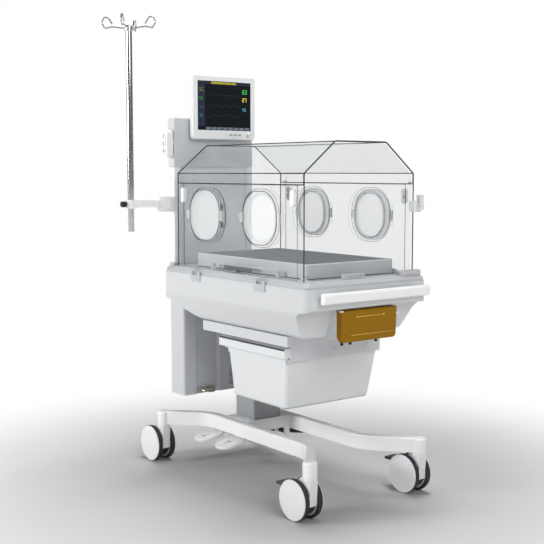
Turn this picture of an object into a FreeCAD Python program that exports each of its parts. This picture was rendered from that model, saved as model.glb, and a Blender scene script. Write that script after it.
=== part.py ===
import FreeCAD, Part
import math
import os

Vec = FreeCAD.Vector

# Infant incubator on a wheeled stand. Millimetres.
# Origin on the floor midway between the four caster swivel axes.
# +X runs to the foot end with the push handle, -Y is the front with the tilt control, +Z is up.

# Casters
caster_x = 490.0
caster_y = 270.0
caster_trail = 48.0
wheel_radius = 75.0
tyre_depth = 9.0
hub_cover_depth = 4.0
hub_cover_inset = 1.5
tyre_width = 24.0
wheel_gap = 40.0
hub_dome = 2.5
axle_radius = 6.0
fork_width = 34.0
fork_cover_radius = 58.0
neck_radius = 26.0
stem_radius = 10.0
stem_reach = 36.0
running_clearance = 0.05
part_clearance = 0.3
brake_pin_radius = 3.0
brake_arm_width = 13.0
brake_pad_width = 54.0
brake_pad_length = 30.0
brake_pivot_back = 32.0
brake_pivot_rise = 34.0

# Stand
leg_bottom = 165.0
leg_height = 56.0
leg_width = 40.0
leg_end_radius = 27.0
leg_middle_y = 127.0
leg_bend_head_x = -345.0
leg_bend_foot_x = 325.0
leg_bend_radius = 150.0
leg_edge_round = 8.0
cross_head_x = -250.0
cross_foot_x = -100.0
cross_height = 48.0
column_head_x = -242.0
column_length = 129.0
column_width = 140.0
column_wall = 5.0
column_outer_top = 560.0
column_inner_overlap = 330.0
column_inner_wall = 4.0
column_corner_radius = 8.0
column_end_plate = 6.0

# Foot pedals
pedal_head_x = -285.0
pedal_foot_x = -135.0
pedal_axle_y = 95.0
pedal_axle_z = 151.0
pedal_axle_radius = 5.0
pedal_hub_radius = 10.0
pedal_hub_width = 32.0
pedal_pad_start = 16.0
pedal_slope = 9.0
pedal_thickness = 14.0
pedal_hanger_depth = 10.0
pedal_hanger_half = 13.0
pedal_hanger_radius = 8.0
near_pedal_half_width = 46.0
near_pedal_tip_y = 238.0
far_pedal_half_width = 30.0
far_pedal_tip_y = 206.0

# Moulded tub that carries the hood
tub_head_x = -442.0
tub_foot_x = 498.0
tub_half_width = 297.0
tub_top = 825.0
tub_crease = 738.0
tub_head_crease = 718.0
tub_knee_x = -367.0
tub_knee_z = 682.0
tub_bottom = 637.0
tub_bottom_half_width = 240.0
tub_corner_radius = 32.0
tub_wall = 8.0
tub_bottom_head_x = -228.0
tub_crease_radius = 50.0
tub_bilge_radius = 36.0
tub_head_crease_radius = 20.0
tub_knee_radius = 100.0
tub_bottom_radius = 120.0
scoop_top = 746.0
scoop_depth = 60.0
scoop_inner_z = 743.0
scoop_bottom_x = 405.0
scoop_radius = 50.0
bay_half_width = 142.0
bay_front_x = 456.0
bay_bottom = 633.0
bay_top = 742.0
bay_wall = 6.0

# Water tank behind the foot end
tank_center_y = 16.0
tank_half_width = 137.0
tank_front_x = 484.0
tank_bottom = 622.0
tank_top = 738.0
tank_wall = 4.0
tank_draft = 5.0
tank_cover_round = 5.0
tank_lower_radius = 16.0
tank_foot_ys = (-106.0, -66.0, 60.0)
tank_foot_radius = 5.5
tank_foot_drop = 10.0
tank_drawer_depth = 88.0

# Deck over the tub
deck_inset = 4.0
deck_thickness = 23.0
deck_sheet = 5.0
deck_chamfer = 14.0
corner_pad_height = 17.0
corner_pad_half_x = 16.0
corner_pad_half_y = 54.0
head_pad_height = 12.0
head_pad_half_x = 16.0
head_pad_half_y = 18.0
pad_radius = 12.0
clip_height = 20.0
clip_depth = 8.0
clip_front_y = -108.0
clip_back_y = -3.0
air_slot_width = 18.0
air_slot_length = 84.0
air_slot_pitch = 88.4

# Handle
handle_center_y = 12.0
handle_half_length = 258.0
handle_outer_x = 540.0
handle_depth = 25.0
handle_height = 44.0
handle_center_z = 793.0
handle_bracket_width = 40.0
handle_end_round = 4.0
handle_bracket_inset = 14.0

# Support frame and storage drawer under the tub
frame_head_x = -227.0
frame_foot_x = 322.0
frame_half_width = 240.0
frame_bottom = 598.0
frame_sheet = 5.0
frame_opening_head_x = -60.0
frame_opening_margin_x = 50.0
frame_opening_margin_y = 40.0
frame_screw_ys = (-150.0, 10.0, 170.0)
frame_screw_z = 570.0
frame_screw_radius = 5.0
frame_screw_rise = 3.0
side_plate_foot_x = 300.0
side_plate_sheet = 3.0
side_plate_bottom = 537.0
side_plate_back_y = 239.0
runner_ledge = 14.0
runner_side_gap = 2.5
bin_head_x = -98.0
bin_foot_x = 284.0
bin_front_y = -212.0
bin_back_y = 246.0
bin_top = 590.0
bin_bottom = 352.0
bin_taper_x = 32.0
bin_taper_y = 38.0
bin_corner_radius = 20.0
bin_wall = 3.0
bin_bottom_round = 14.0
bin_flange_thickness = 4.0
bin_flange_back_gap = 20.0
rail_front_y = -240.0
rail_bottom = 549.0
rail_head_x = -116.0
rail_foot_x = 306.0
rail_groove_inset = 12.0

# Head-end service housing and tower
housing_head_x = -461.0
housing_foot_x = -358.0
housing_half_width = 250.0
housing_bottom = 303.0
housing_step = 8.0
housing_wall = 6.0
housing_recess_front_y = -190.0
housing_recess_back_y = -70.0
housing_recess_slant = 12.0
louvre_count = 6
louvre_pitch = 12.0
louvre_height = 5.0
louvre_front_y = -20.0
louvre_back_y = 60.0
inlet_y = -163.0
inlet_z = 318.0
tower_head_x = -450.0
tower_foot_x = -422.0
tower_front_y = -250.0
tower_back_y = 150.0
tower_post_width = 30.0
tower_sheet_start = 4.0
tower_sheet = 8.0
cover_front_y = -151.0
cover_back_y = -9.0
cover_rise = 120.0
box_head_x = -465.0
box_foot_x = -421.0
box_bottom = 1252.0
box_top = 1454.0
box_wall = 4.0
box_corner_radius = 10.0
neck_half_width = 50.0
neck_sheet = 12.0
neck_back = 19.0
ear_width = 16.0
ear_radius = 8.0
box_louvre_count = 7
box_louvre_pitch = 16.0
box_louvre_height = 6.0
box_louvre_front_y = -120.0
box_louvre_back_y = 60.0
module_front_y = -285.0
module_depth = 27.0
module_bottom = 1293.0
module_top = 1404.0
module_boss_radius = 13.0
socket_zs = (1318.0, 1348.0, 1378.0)
socket_ring_radius = 11.0
socket_ring_rise = 5.0
socket_depths = (13.0, 12.0, 11.0)
socket_radius = 7.0
module_head_x = -459.0
module_foot_x = -417.0

# Hood of clear acrylic
hood_head_x = -368.0
hood_foot_x = 447.0
hood_half_width = 265.0
hood_bottom = tub_top + deck_thickness
hood_split = 1186.0
hood_bend = hood_split + 41.0
hood_top = hood_bend + 114.0
hood_top_half_width = 124.0
acrylic = 6.0
post_width = 38.0
panel_gap = 0.6
panel_floor_gap = 3.0
hood_bend_radius = 14.0

# Drop-down panels and their hinges
panel_hinge_y = tub_half_width + 2.0
panel_hinge_z = tub_top + 11.0
hinge_head_x = -190.0
hinge_foot_x = 234.0
hinge_width = 62.0
hinge_knuckle_radius = 5.0
hinge_pin_radius = 2.5
hinge_tab_height = 26.0
hinge_tab_depth = 5.0
hinge_ear = 14.0
latch_x_inset = 14.0
latch_z = hood_split - 46.0
latch_length = 59.0
latch_width = 22.0
latch_depth = 16.0
latch_pin_radius = 4.0

# Hand ports
port_head_x = -156.0
port_foot_x = 205.0
port_z = hood_split - 122.0
port_hole_half_x = 88.0
port_hole_half_z = 92.0
port_ring_half_x = 113.0
port_ring_half_z = 107.0
port_ring_depth = 8.0
port_hole_radius = 80.0
port_ring_radius = 96.0
port_door_radius = 88.0
port_door_half_x = 103.0
port_door_half_z = 99.0
port_door_thickness = 5.0
port_hinge_offset = 117.0
port_hinge_rise = 4.0
port_knuckle_radius = 5.0
port_pin_radius = 2.0
port_knuckle_low = 20.0
port_knuckle_length = 25.0
port_latch_length = 44.0

# Canopy hinge at the rear edge
canopy_hinge_y = 271.5
canopy_hinge_rise = 6.2
canopy_knuckle_length = 15.0
canopy_knuckle_start = 4.0

# Bed
tray_head_x = -314.0
tray_foot_x = 400.0
tray_half_width = 213.0
tray_bottom = hood_bottom + 4.0
tray_top = tray_bottom + 52.0
tray_wall = 6.0
bed_pivot_x = 394.0
bed_pivot_z = tray_bottom + 5.5
bed_pin_radius = 4.0
bed_pin_reach = 14.0
bed_lug_width = 12.0
bed_lug_gap = 2.0
tray_foot_radius = 12.0
tray_foot_inset = 40.0
tray_corner_radius = 14.0
mattress_thickness = 54.0
mattress_inset = 3.0

# Tilt control in front of the bed
tilt_rail_head_x = -156.0
tilt_rail_foot_x = 275.0
tilt_rail_y = -246.0
tilt_rail_sheet = 4.0
tilt_rail_top = hood_bottom + 29.0
tilt_slot_low = hood_bottom + 2.5
tilt_slot_high = hood_bottom + 9.5
tilt_knob_x = 28.0
tilt_knob_radius = 4.9
tilt_slot_inset = 14.0
tilt_post_width = 12.0
tilt_post_depth = 8.0
tilt_handle_length = 178.0
tilt_handle_bottom = tilt_slot_high + 1.5
tilt_handle_top = tilt_handle_bottom + 13.0

# Monitor on the head end
monitor_front_x = -380.0
monitor_depth = 26.0
monitor_front_side_y = -182.0
monitor_back_side_y = 134.0
monitor_bottom = 1368.0
monitor_top = 1632.0
screen_half_width = 135.0
screen_bottom = 1406.0
screen_top = 1609.0
screen_recess = 2.0
monitor_pivot_x = -424.0
monitor_pivot_z = 1515.0
monitor_pin_radius = 4.0
monitor_corner_radius = 14.0
monitor_lug_radius = 8.0
encoder_radius = 9.0
encoder_length = 9.0
encoder_shaft_radius = 3.0
encoder_shaft_length = 8.0
encoder_y = 97.0
encoder_z = 1388.0
key_size = 17.0
key_pitch = 24.0
key_first_y = -16.0

# Infusion pole
pole_x = -420.0
pole_y = -456.0
pole_radius = 12.5
pole_wall = 1.5
pole_bottom = 993.0
pole_top = 1800.0
collar_z = 1103.0
collar_height = 34.0
collar_radius = 22.0
hook_reach = 113.0
hook_wire_radius = 3.0
pole_head_radius = 15.5
hook_bend = 6.0
arm_half_width = 13.0
clamp_block_front_y = -332.0
clamp_block_reach_head = 24.0
clamp_block_reach_foot = 26.0
clamp_boss_y = -292.0
clamp_knob_radius = 12.0
holder_y = 262.0
holder_z = 1083.0
holder_height = 40.0
holder_half_width = 18.0
holder_depth = 30.0
prong_height = 52.0
prong_pitch = 20.0
prong_thickness = 5.0
clamp_screw_radius = 4.0

# Air system inside the tub
fan_x = 180.0
fan_motor_radius = 42.0
fan_motor_height = 80.0
fan_shaft_radius = 5.0
impeller_radius = 70.0
impeller_height = 34.0
impeller_z = 752.0
impeller_blades = 10
heater_radius = 96.0
heater_tube_radius = 5.0

AXES = {"x": Vec(1, 0, 0), "y": Vec(0, 1, 0), "z": Vec(0, 0, 1)}


def place(axis, at, a, b):
    """Point with coordinate at along axis; a and b are the other two in X, Y, Z order."""
    if axis == "x":
        return Vec(at, a, b)
    if axis == "y":
        return Vec(a, at, b)
    return Vec(a, b, at)


def box(x0, x1, y0, y1, z0, z1):
    """Block between two corners, given as pairs of limits."""
    return Part.makeBox(x1 - x0, y1 - y0, z1 - z0, Vec(x0, y0, z0))


def rod(radius, start, end):
    """Round bar from one point to another."""
    along = end.sub(start)
    return Part.makeCylinder(radius, along.Length, start, along)


def peg(axis, low, high, a, b, radius):
    """Round bar along a main axis, about (a, b)."""
    circle = Part.makeCircle(radius, place(axis, low, a, b), AXES[axis])
    return Part.Face(Part.Wire(circle)).extrude(AXES[axis] * (high - low))


def outline(axis, at, corners):
    """Flat face through corners (a, b, radius), with a tangent arc at each corner that has a radius."""
    arrive, middle, leave = [], [], []
    count = len(corners)
    for i in range(count):
        a, b, radius = corners[i]
        here = Vec(a, b, 0)
        back = Vec(corners[i - 1][0], corners[i - 1][1], 0).sub(here)
        ahead = Vec(corners[(i + 1) % count][0], corners[(i + 1) % count][1], 0).sub(here)
        back.normalize()
        ahead.normalize()
        if radius <= 0:
            arrive.append(here)
            middle.append(None)
            leave.append(here)
            continue
        half = back.getAngle(ahead) / 2
        inward = back.add(ahead)
        inward.normalize()
        arrive.append(here.add(back * (radius / math.tan(half))))
        leave.append(here.add(ahead * (radius / math.tan(half))))
        middle.append(here.add(inward * (radius / math.sin(half) - radius)))
    edges = []
    for i in range(count):
        start = leave[i - 1]
        end = arrive[i]
        if start.distanceToPoint(end) > 1e-6:
            edges.append(Part.LineSegment(place(axis, at, start.x, start.y), place(axis, at, end.x, end.y)))
        if middle[i] is not None:
            curve = [place(axis, at, p.x, p.y) for p in (arrive[i], middle[i], leave[i])]
            edges.append(Part.Arc(*curve))
    return Part.Face(Part.Wire([edge.toShape() for edge in edges]))


def plate(axis, low, high, corners):
    """The rounded outline carried from low to high along axis."""
    return outline(axis, low, corners).extrude(AXES[axis] * (high - low))


def oval(axis, low, high, a, b, half_a, half_b, radius):
    """Rounded rectangle about (a, b), carried along axis."""
    corners = [(a - half_a, b - half_b, radius), (a + half_a, b - half_b, radius)]
    corners += [(a + half_a, b + half_b, radius), (a - half_a, b + half_b, radius)]
    return plate(axis, low, high, corners)


def turned(points, base, direction):
    """Solid of revolution about an axis through base; points are (radius, distance along)."""
    wire = Part.makePolygon([Vec(r, 0, h) for r, h in points + points[:1]])
    solid = Part.Face(wire).revolve(Vec(0, 0, 0), Vec(0, 0, 1), 360)
    solid.Placement = FreeCAD.Placement(base, FreeCAD.Rotation(Vec(0, 0, 1), direction))
    return solid


def mirror_y(shape):
    """The same piece on the other long side."""
    return shape.mirror(Vec(0, 0, 0), Vec(0, 1, 0))


def save(name, *solids):
    """Write one sub-part as a group of closed solids."""
    found = []
    for solid in solids:
        found += solid.Solids
    shape = found[0] if len(found) == 1 else Part.makeCompound(found)
    for solid in found:
        if not solid.isValid() or solid.Volume <= 0:
            print("bad solid in", name)
    shape.exportStep("parts/" + name + ".step")


def rounded_edges(shape, radius, chosen):
    """Round the edges that a test picks out."""
    edges = [edge for edge in shape.Edges if chosen(edge)]
    return shape.makeFillet(radius, edges)


def level_edge(z):
    """Test for an edge that lies flat at one height."""
    def found(edge):
        return abs(edge.BoundBox.ZMin - z) < 1e-4 and abs(edge.BoundBox.ZMax - z) < 1e-4
    return found


# Stand

def strip(points, radius, half_width, end_radius):
    """Plan outline of a bent bar: a centre line with tangent arcs, a constant width and round ends."""
    heading = []
    for i in range(len(points) - 1):
        heading.append(points[i + 1].sub(points[i]).normalize())
    left, right = [], []
    for i, point in enumerate(points):
        if i == 0:
            side = Vec(-heading[0].y, heading[0].x, 0)
            left.append((point.add(side * half_width), 0.0))
            right.append((point.sub(side * half_width), 0.0))
            continue
        if i == len(points) - 1:
            side = Vec(-heading[-1].y, heading[-1].x, 0)
            left.append((point.add(side * half_width), 0.0))
            right.append((point.sub(side * half_width), 0.0))
            continue
        before = Vec(-heading[i - 1].y, heading[i - 1].x, 0)
        after = Vec(-heading[i].y, heading[i].x, 0)
        miter = before.add(after).normalize()
        reach = half_width / miter.dot(before)
        turn = heading[i - 1].cross(heading[i]).z
        grow = half_width if turn < 0 else -half_width
        left.append((point.add(miter * reach), radius + grow))
        right.append((point.sub(miter * reach), radius - grow))
    corners = [(p.x, p.y, r) for p, r in left + right[::-1]]
    solid = plate("z", leg_bottom, leg_bottom + leg_height, corners)
    for end in (points[0], points[-1]):
        cap = Part.makeCylinder(end_radius, leg_height, Vec(end.x, end.y, leg_bottom))
        solid = solid.fuse(cap)
    return solid.removeSplitter()


def base_leg():
    """Long side bar of the stand, straight in the middle and flared out to a caster at each end."""
    line = [Vec(-caster_x, -caster_y, 0), Vec(leg_bend_head_x, -leg_middle_y, 0)]
    line += [Vec(leg_bend_foot_x, -leg_middle_y, 0), Vec(caster_x, -caster_y, 0)]
    leg = strip(line, leg_bend_radius, leg_width / 2, leg_end_radius)
    top = leg_bottom + leg_height
    leg = rounded_edges(leg, leg_edge_round, level_edge(top))
    for x in (-caster_x, caster_x):
        socket = Part.makeCylinder(stem_radius + running_clearance, stem_reach + part_clearance,
                                   Vec(x, -caster_y, leg_bottom))
        leg = leg.cut(socket)
    return leg


def cross_member():
    """Beam between the legs, with hangers below it for the two pedal axles."""
    inner = leg_middle_y - leg_width / 2
    beam_bottom = leg_bottom + leg_height - cross_height
    beam = box(cross_head_x, cross_foot_x, -inner, inner, beam_bottom, leg_bottom + leg_height)
    depth = pedal_hanger_depth
    half = pedal_hanger_half
    radius = pedal_hanger_radius
    low = pedal_axle_z - half
    high = beam_bottom + 2.0
    hub_half = pedal_hub_width / 2
    stops = (cross_head_x, pedal_foot_x - hub_half - 2 * depth, cross_foot_x - depth)
    for side in (-1, 1):
        y = side * pedal_axle_y
        axle_start = Vec(pedal_head_x - hub_half - 4.0, y, pedal_axle_z)
        axle_end = Vec(cross_foot_x, y, pedal_axle_z)
        for x in stops:
            inward = y - side * half
            outward = y + side * (half - 2.0)
            y0 = min(inward, outward)
            y1 = max(inward, outward)
            corners = [(y0, low, radius), (y1, low, radius), (y1, high, 0.0), (y0, high, 0.0)]
            beam = beam.fuse(plate("x", x, x + depth, corners))
        beam = beam.fuse(rod(pedal_axle_radius, axle_start, axle_end))
    return beam.removeSplitter()


def column_outer():
    """Fixed lower stage of the lifting column, a rectangular tube on a foot plate."""
    low = leg_bottom + leg_height
    half = column_width / 2
    foot_x = column_head_x + column_length
    center = (column_head_x + foot_x) / 2
    radius = column_corner_radius
    outer = oval("z", low, column_outer_top, center, 0, column_length / 2, half, radius)
    inner = oval("z", low + column_end_plate, column_outer_top + 1.0, center, 0,
                 column_length / 2 - column_wall, half - column_wall, radius - column_wall)
    return outer.cut(inner)


def column_inner():
    """Sliding upper stage, a closer-fitting tube that stands under the support frame."""
    foot_x = column_head_x + column_length
    center = (column_head_x + foot_x) / 2
    gap = column_wall + part_clearance
    half_x = column_length / 2 - gap
    half_y = column_width / 2 - gap
    top = frame_bottom
    bottom = column_outer_top - column_inner_overlap
    radius = column_corner_radius - gap
    outer = oval("z", bottom, top, center, 0, half_x, half_y, radius)
    wall = column_inner_wall
    inner = box(center - half_x + wall, center + half_x - wall, -half_y + wall, half_y - wall,
                bottom - 1.0, top - column_end_plate)
    return outer.cut(inner)


# Casters

def caster_fork(x, y, braked):
    """Swivel stem, round neck and the housing that hangs between the twin wheels."""
    axle_x = x - caster_trail
    neck_top = leg_bottom - part_clearance
    neck_bottom = 2 * wheel_radius + 2.0
    neck = Part.makeCylinder(neck_radius, neck_top - neck_bottom, Vec(x, y, neck_bottom))
    stem = Part.makeCylinder(stem_radius, stem_reach, Vec(x, y, neck_top - 1.0))
    half = fork_width / 2
    disc = rod(fork_cover_radius, Vec(axle_x, y - half, wheel_radius), Vec(axle_x, y + half, wheel_radius))
    reach = neck_radius - 2.0
    cheek = [(axle_x - 30.0, wheel_radius + 46.0, 0.0), (axle_x + 15.0, wheel_radius - 25.0, 0.0)]
    cheek += [(x + reach - 8.0, wheel_radius - 25.0, 16.0), (x + reach, neck_bottom + 4.0, 0.0)]
    cheek += [(x - reach, neck_bottom + 12.0, 12.0)]
    web = plate("y", y - half, y + half, cheek)
    fork = neck.fuse([stem, disc, web]).removeSplitter()
    bore = rod(axle_radius + running_clearance, Vec(axle_x, y - half - 1, wheel_radius),
               Vec(axle_x, y + half + 1, wheel_radius))
    fork = fork.cut(bore)
    if braked:
        gap = brake_arm_width / 2 + part_clearance
        slot = box(axle_x - 80.0, axle_x - 18.0, y - gap, y + gap, wheel_radius + 18.0, neck_top - 12.0)
        pivot_x = axle_x - brake_pivot_back
        pivot_z = wheel_radius + brake_pivot_rise
        pin = rod(brake_pin_radius, Vec(pivot_x, y - gap - 2.0, pivot_z), Vec(pivot_x, y + gap + 2.0, pivot_z))
        fork = fork.cut(slot).fuse(pin).removeSplitter()
    return fork


def caster_hubs(x, y):
    """Axle with a flanged hub and a domed cover on each side."""
    axle_x = x - caster_trail
    rim = wheel_radius - tyre_depth
    inner = wheel_gap / 2
    outer = inner + tyre_width
    seat = outer - hub_cover_depth
    cover = wheel_radius - hub_cover_inset
    points = [(0.0, inner), (14.0, inner), (14.0, outer - 8.0), (rim - 8.0, outer - 8.0)]
    points += [(rim - 8.0, inner), (rim, inner), (rim, seat), (cover, seat), (cover, outer - 2.0)]
    points += [(cover - 2.0, outer), (rim * 0.6, outer + hub_dome * 0.75)]
    points += [(0.0, outer + hub_dome)]
    near = turned(points, Vec(axle_x, y, wheel_radius), Vec(0, -1, 0))
    far = turned(points, Vec(axle_x, y, wheel_radius), Vec(0, 1, 0))
    axle = rod(axle_radius, Vec(axle_x, y - inner - 5.0, wheel_radius),
               Vec(axle_x, y + inner + 5.0, wheel_radius))
    return near.fuse([axle, far]).removeSplitter()


def caster_tyres(x, y):
    """Rubber tread rings of the twin wheels, with rounded shoulders."""
    axle_x = x - caster_trail
    rim = wheel_radius - tyre_depth
    inner = wheel_gap / 2
    outer = inner + tyre_width - hub_cover_depth
    shoulder = 4.0
    points = [(rim, inner), (wheel_radius - shoulder, inner), (wheel_radius - 1.2, inner + 1.2)]
    points += [(wheel_radius, inner + shoulder), (wheel_radius, outer - shoulder)]
    points += [(wheel_radius - 1.2, outer - 1.2), (wheel_radius - shoulder, outer), (rim, outer)]
    center = Vec(axle_x, y, wheel_radius)
    return [turned(points, center, Vec(0, side, 0)) for side in (-1, 1)]


def brake_lever(x, y):
    """Foot lever that pivots in the fork and ends in a broad pad behind the wheels."""
    axle_x = x - caster_trail
    pivot_x = axle_x - brake_pivot_back
    pivot_z = wheel_radius + brake_pivot_rise
    half = brake_arm_width / 2
    pad_start = axle_x - wheel_radius - 5.0
    tip = pad_start - brake_pad_length
    arm = [(pivot_x + 8.0, pivot_z - 7.0, 5.0), (pivot_x + 8.0, pivot_z + 8.0, 5.0)]
    arm += [(tip, pivot_z + 8.0, 3.0), (tip, pivot_z - 1.0, 3.0), (pivot_x - 14.0, pivot_z - 7.0, 5.0)]
    lever = plate("y", y - half, y + half, arm)
    pad = [(pad_start, pivot_z - 1.0, 2.0), (pad_start, pivot_z + 7.0, 2.0)]
    pad += [(tip, pivot_z + 9.0, 3.0), (tip - 2.0, pivot_z - 2.0, 3.0)]
    lever = lever.fuse(plate("y", y - brake_pad_width / 2, y + brake_pad_width / 2, pad)).removeSplitter()
    bore = rod(brake_pin_radius + running_clearance, Vec(pivot_x, y - brake_pad_width, pivot_z),
               Vec(pivot_x, y + brake_pad_width, pivot_z))
    return lever.cut(bore)


# Pedals

def pedal(x, half_width, tip_y):
    """Foot pedal: a hub on the axle and a broad sloping pad with a round tip that reaches past the leg."""
    y = -pedal_axle_y
    z = pedal_axle_z
    half_hub = pedal_hub_width / 2
    half = pedal_thickness / 2
    start = y - pedal_pad_start
    shoulder = start - 26.0
    hub = rod(pedal_hub_radius, Vec(x - half_hub, y, z), Vec(x + half_hub, y, z))
    root = half_hub - 3.0
    web = box(x - root, x + root, start - 12.0, y, z - half + 1.0, z + half - 2.0)
    corners = [(x - root, start, 4.0), (x + root, start, 4.0), (x + half_width, shoulder, 16.0)]
    corners += [(x + half_width, -tip_y, half_width - 4.0), (x - half_width, -tip_y, half_width - 4.0)]
    corners += [(x - half_width, shoulder, 16.0)]
    pad = plate("z", z - half, z + half, corners)
    pad = rounded_edges(pad, 3.0, level_edge(z + half))
    pad = rounded_edges(pad, 5.0, level_edge(z - half))
    body = pad.fuse(web)
    body.rotate(Vec(x, y, z), Vec(1, 0, 0), pedal_slope)
    bore = rod(pedal_axle_radius + running_clearance, Vec(x - half_hub - 1.0, y, z),
               Vec(x + half_hub + 1.0, y, z))
    return body.fuse(hub).cut(bore).removeSplitter()


# Tub, deck and handle

def tub_form(inset):
    """Closed hull form: plan outline, side outline and end outline all meet in it."""
    head = tub_head_x + inset
    foot = tub_foot_x - inset
    half = tub_half_width - inset
    bottom = tub_bottom + inset
    top = tub_top if inset == 0 else tub_top + 1.0
    plan_center = (head + foot) / 2
    plan = oval("z", bottom, top, plan_center, 0, (foot - head) / 2, half, tub_corner_radius - inset)
    side = [(head, top, 0.0), (head, tub_head_crease + inset * 0.4, tub_head_crease_radius)]
    side += [(tub_knee_x + inset * 0.6, tub_knee_z + inset, tub_knee_radius)]
    side += [(tub_bottom_head_x + inset * 0.4, bottom, tub_bottom_radius)]
    side += [(scoop_bottom_x - inset, bottom, 10.0)]
    side += [(foot - scoop_depth, scoop_inner_z + inset, scoop_radius + inset)]
    side += [(foot, scoop_top + inset, 12.0), (foot, top, 0.0)]
    side_solid = plate("y", -half, half, side)
    low_half = tub_bottom_half_width - inset
    crease = tub_crease + inset * 0.4
    end = [(-half, top, 0.0), (-half, crease, tub_crease_radius), (-low_half, bottom, tub_bilge_radius)]
    end += [(low_half, bottom, tub_bilge_radius), (half, crease, tub_crease_radius), (half, top, 0.0)]
    end_solid = plate("x", head, foot, end)
    return plan.common(side_solid).common(end_solid)


def body_shell():
    """Moulded tub, open at the top, with the bay for the water tank under its foot end."""
    shell = tub_form(0.0).cut(tub_form(tub_wall))
    bay_back_x = tank_front_x - tank_drawer_depth - bay_wall - part_clearance
    middle = tank_center_y
    bay = box(bay_back_x, bay_front_x, middle - bay_half_width, middle + bay_half_width,
              bay_bottom, bay_top)
    bay = bay.cut(tub_form(0.0))
    pocket_half = bay_half_width - bay_wall
    pocket = box(bay_back_x + bay_wall, bay_front_x + 1.0, middle - pocket_half, middle + pocket_half,
                 bay_bottom + bay_wall, bay_top - bay_wall - 2.0)
    return shell.fuse(bay).cut(pocket).removeSplitter()


def water_tank():
    """Amber water tank: a tapered front cover on a narrower tank body, open at the top."""
    middle = tank_center_y
    body_half = bay_half_width - bay_wall - 1.0
    back_x = tank_front_x - tank_drawer_depth
    cover_back = bay_front_x + part_clearance
    draft = tank_draft
    front = [(middle - tank_half_width, tank_top, 6.0), (middle + tank_half_width, tank_top, 6.0)]
    front += [(middle + tank_half_width - draft, tank_bottom, tank_lower_radius)]
    front += [(middle - tank_half_width + draft, tank_bottom, tank_lower_radius)]
    cover = plate("x", cover_back, tank_front_x, front)
    edge = [e for e in cover.Edges if abs(e.BoundBox.XMin - tank_front_x) < 1e-4
            and abs(e.BoundBox.XMax - tank_front_x) < 1e-4]
    cover = cover.makeFillet(tank_cover_round, edge)
    low = bay_bottom + bay_wall + part_clearance
    high = bay_top - bay_wall - 10.0
    body = box(back_x, cover_back + 1.0, middle - body_half, middle + body_half, low, high)
    wall = tank_wall
    inner = body_half - wall
    cavity = box(back_x + wall, tank_front_x - 2 * wall, middle - inner, middle + inner,
                 low + wall, high + 1.0)
    tank = cover.fuse(body).cut(cavity)
    for y in tank_foot_ys:
        foot = Part.makeCylinder(tank_foot_radius, tank_foot_drop + 2.0,
                                 Vec(tank_front_x - 16.0, y, tank_bottom - tank_foot_drop))
        tank = tank.fuse(foot)
    return tank.removeSplitter()


def hinge_bracket(x):
    """Grey tab on the tub's upper edge with two knuckles and the pin of a drop-down panel."""
    y = -panel_hinge_y
    face = -tub_half_width
    half = hinge_width / 2
    outer = face - hinge_tab_depth
    low = tub_top - hinge_tab_height
    tab = plate("x", x - half, x + half, [(face, low, 0.0), (face, tub_top, 0.0), (outer, tub_top, 0.0),
                                          (outer, low, hinge_tab_depth / 2)])
    pieces = []
    for start in (x - half, x + half - hinge_ear):
        end = start + hinge_ear
        pieces.append(box(start, end, outer, face, tub_top - 1.0, panel_hinge_z))
        pieces.append(rod(hinge_knuckle_radius, Vec(start, y, panel_hinge_z), Vec(end, y, panel_hinge_z)))
    pieces.append(rod(hinge_pin_radius, Vec(x - half, y, panel_hinge_z), Vec(x + half, y, panel_hinge_z)))
    bridge = box(x - half, x + half, face - 1.0, face + deck_inset + 6.0, tub_top, tub_top + 3.0)
    return tab.fuse(pieces + [bridge]).removeSplitter()


def tilt_rail():
    """Upright slotted plate in front of the bed that guides the tilt slider."""
    low = tub_top + deck_thickness
    y0 = tilt_rail_y
    y1 = tilt_rail_y + tilt_rail_sheet
    sheet = plate("y", y0, y1, [(tilt_rail_head_x, low, 0.0), (tilt_rail_foot_x, low, 0.0),
                                (tilt_rail_foot_x, tilt_rail_top, 4.0), (tilt_rail_head_x, tilt_rail_top, 4.0)])
    slot_x0 = tilt_rail_head_x + tilt_slot_inset
    slot_x1 = tilt_rail_foot_x - tilt_slot_inset
    slot = box(slot_x0, slot_x1, y0 - 1.0, y1 + 1.0, tilt_slot_low, tilt_slot_high)
    window = box(slot_x0, slot_x1, y0 - 1.0, y1 + 1.0, tilt_handle_bottom, tilt_handle_top + 1.0)
    ends = []
    for start in (tilt_rail_head_x, tilt_rail_foot_x - tilt_post_width):
        ends.append(box(start, start + tilt_post_width, y1, y1 + tilt_post_depth, low, tilt_rail_top - 4.0))
    return sheet.cut(slot.fuse(window)).fuse(ends).removeSplitter()


def deck_top():
    """Height of the surface on which the hood stands."""
    return tub_top + deck_thickness


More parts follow.
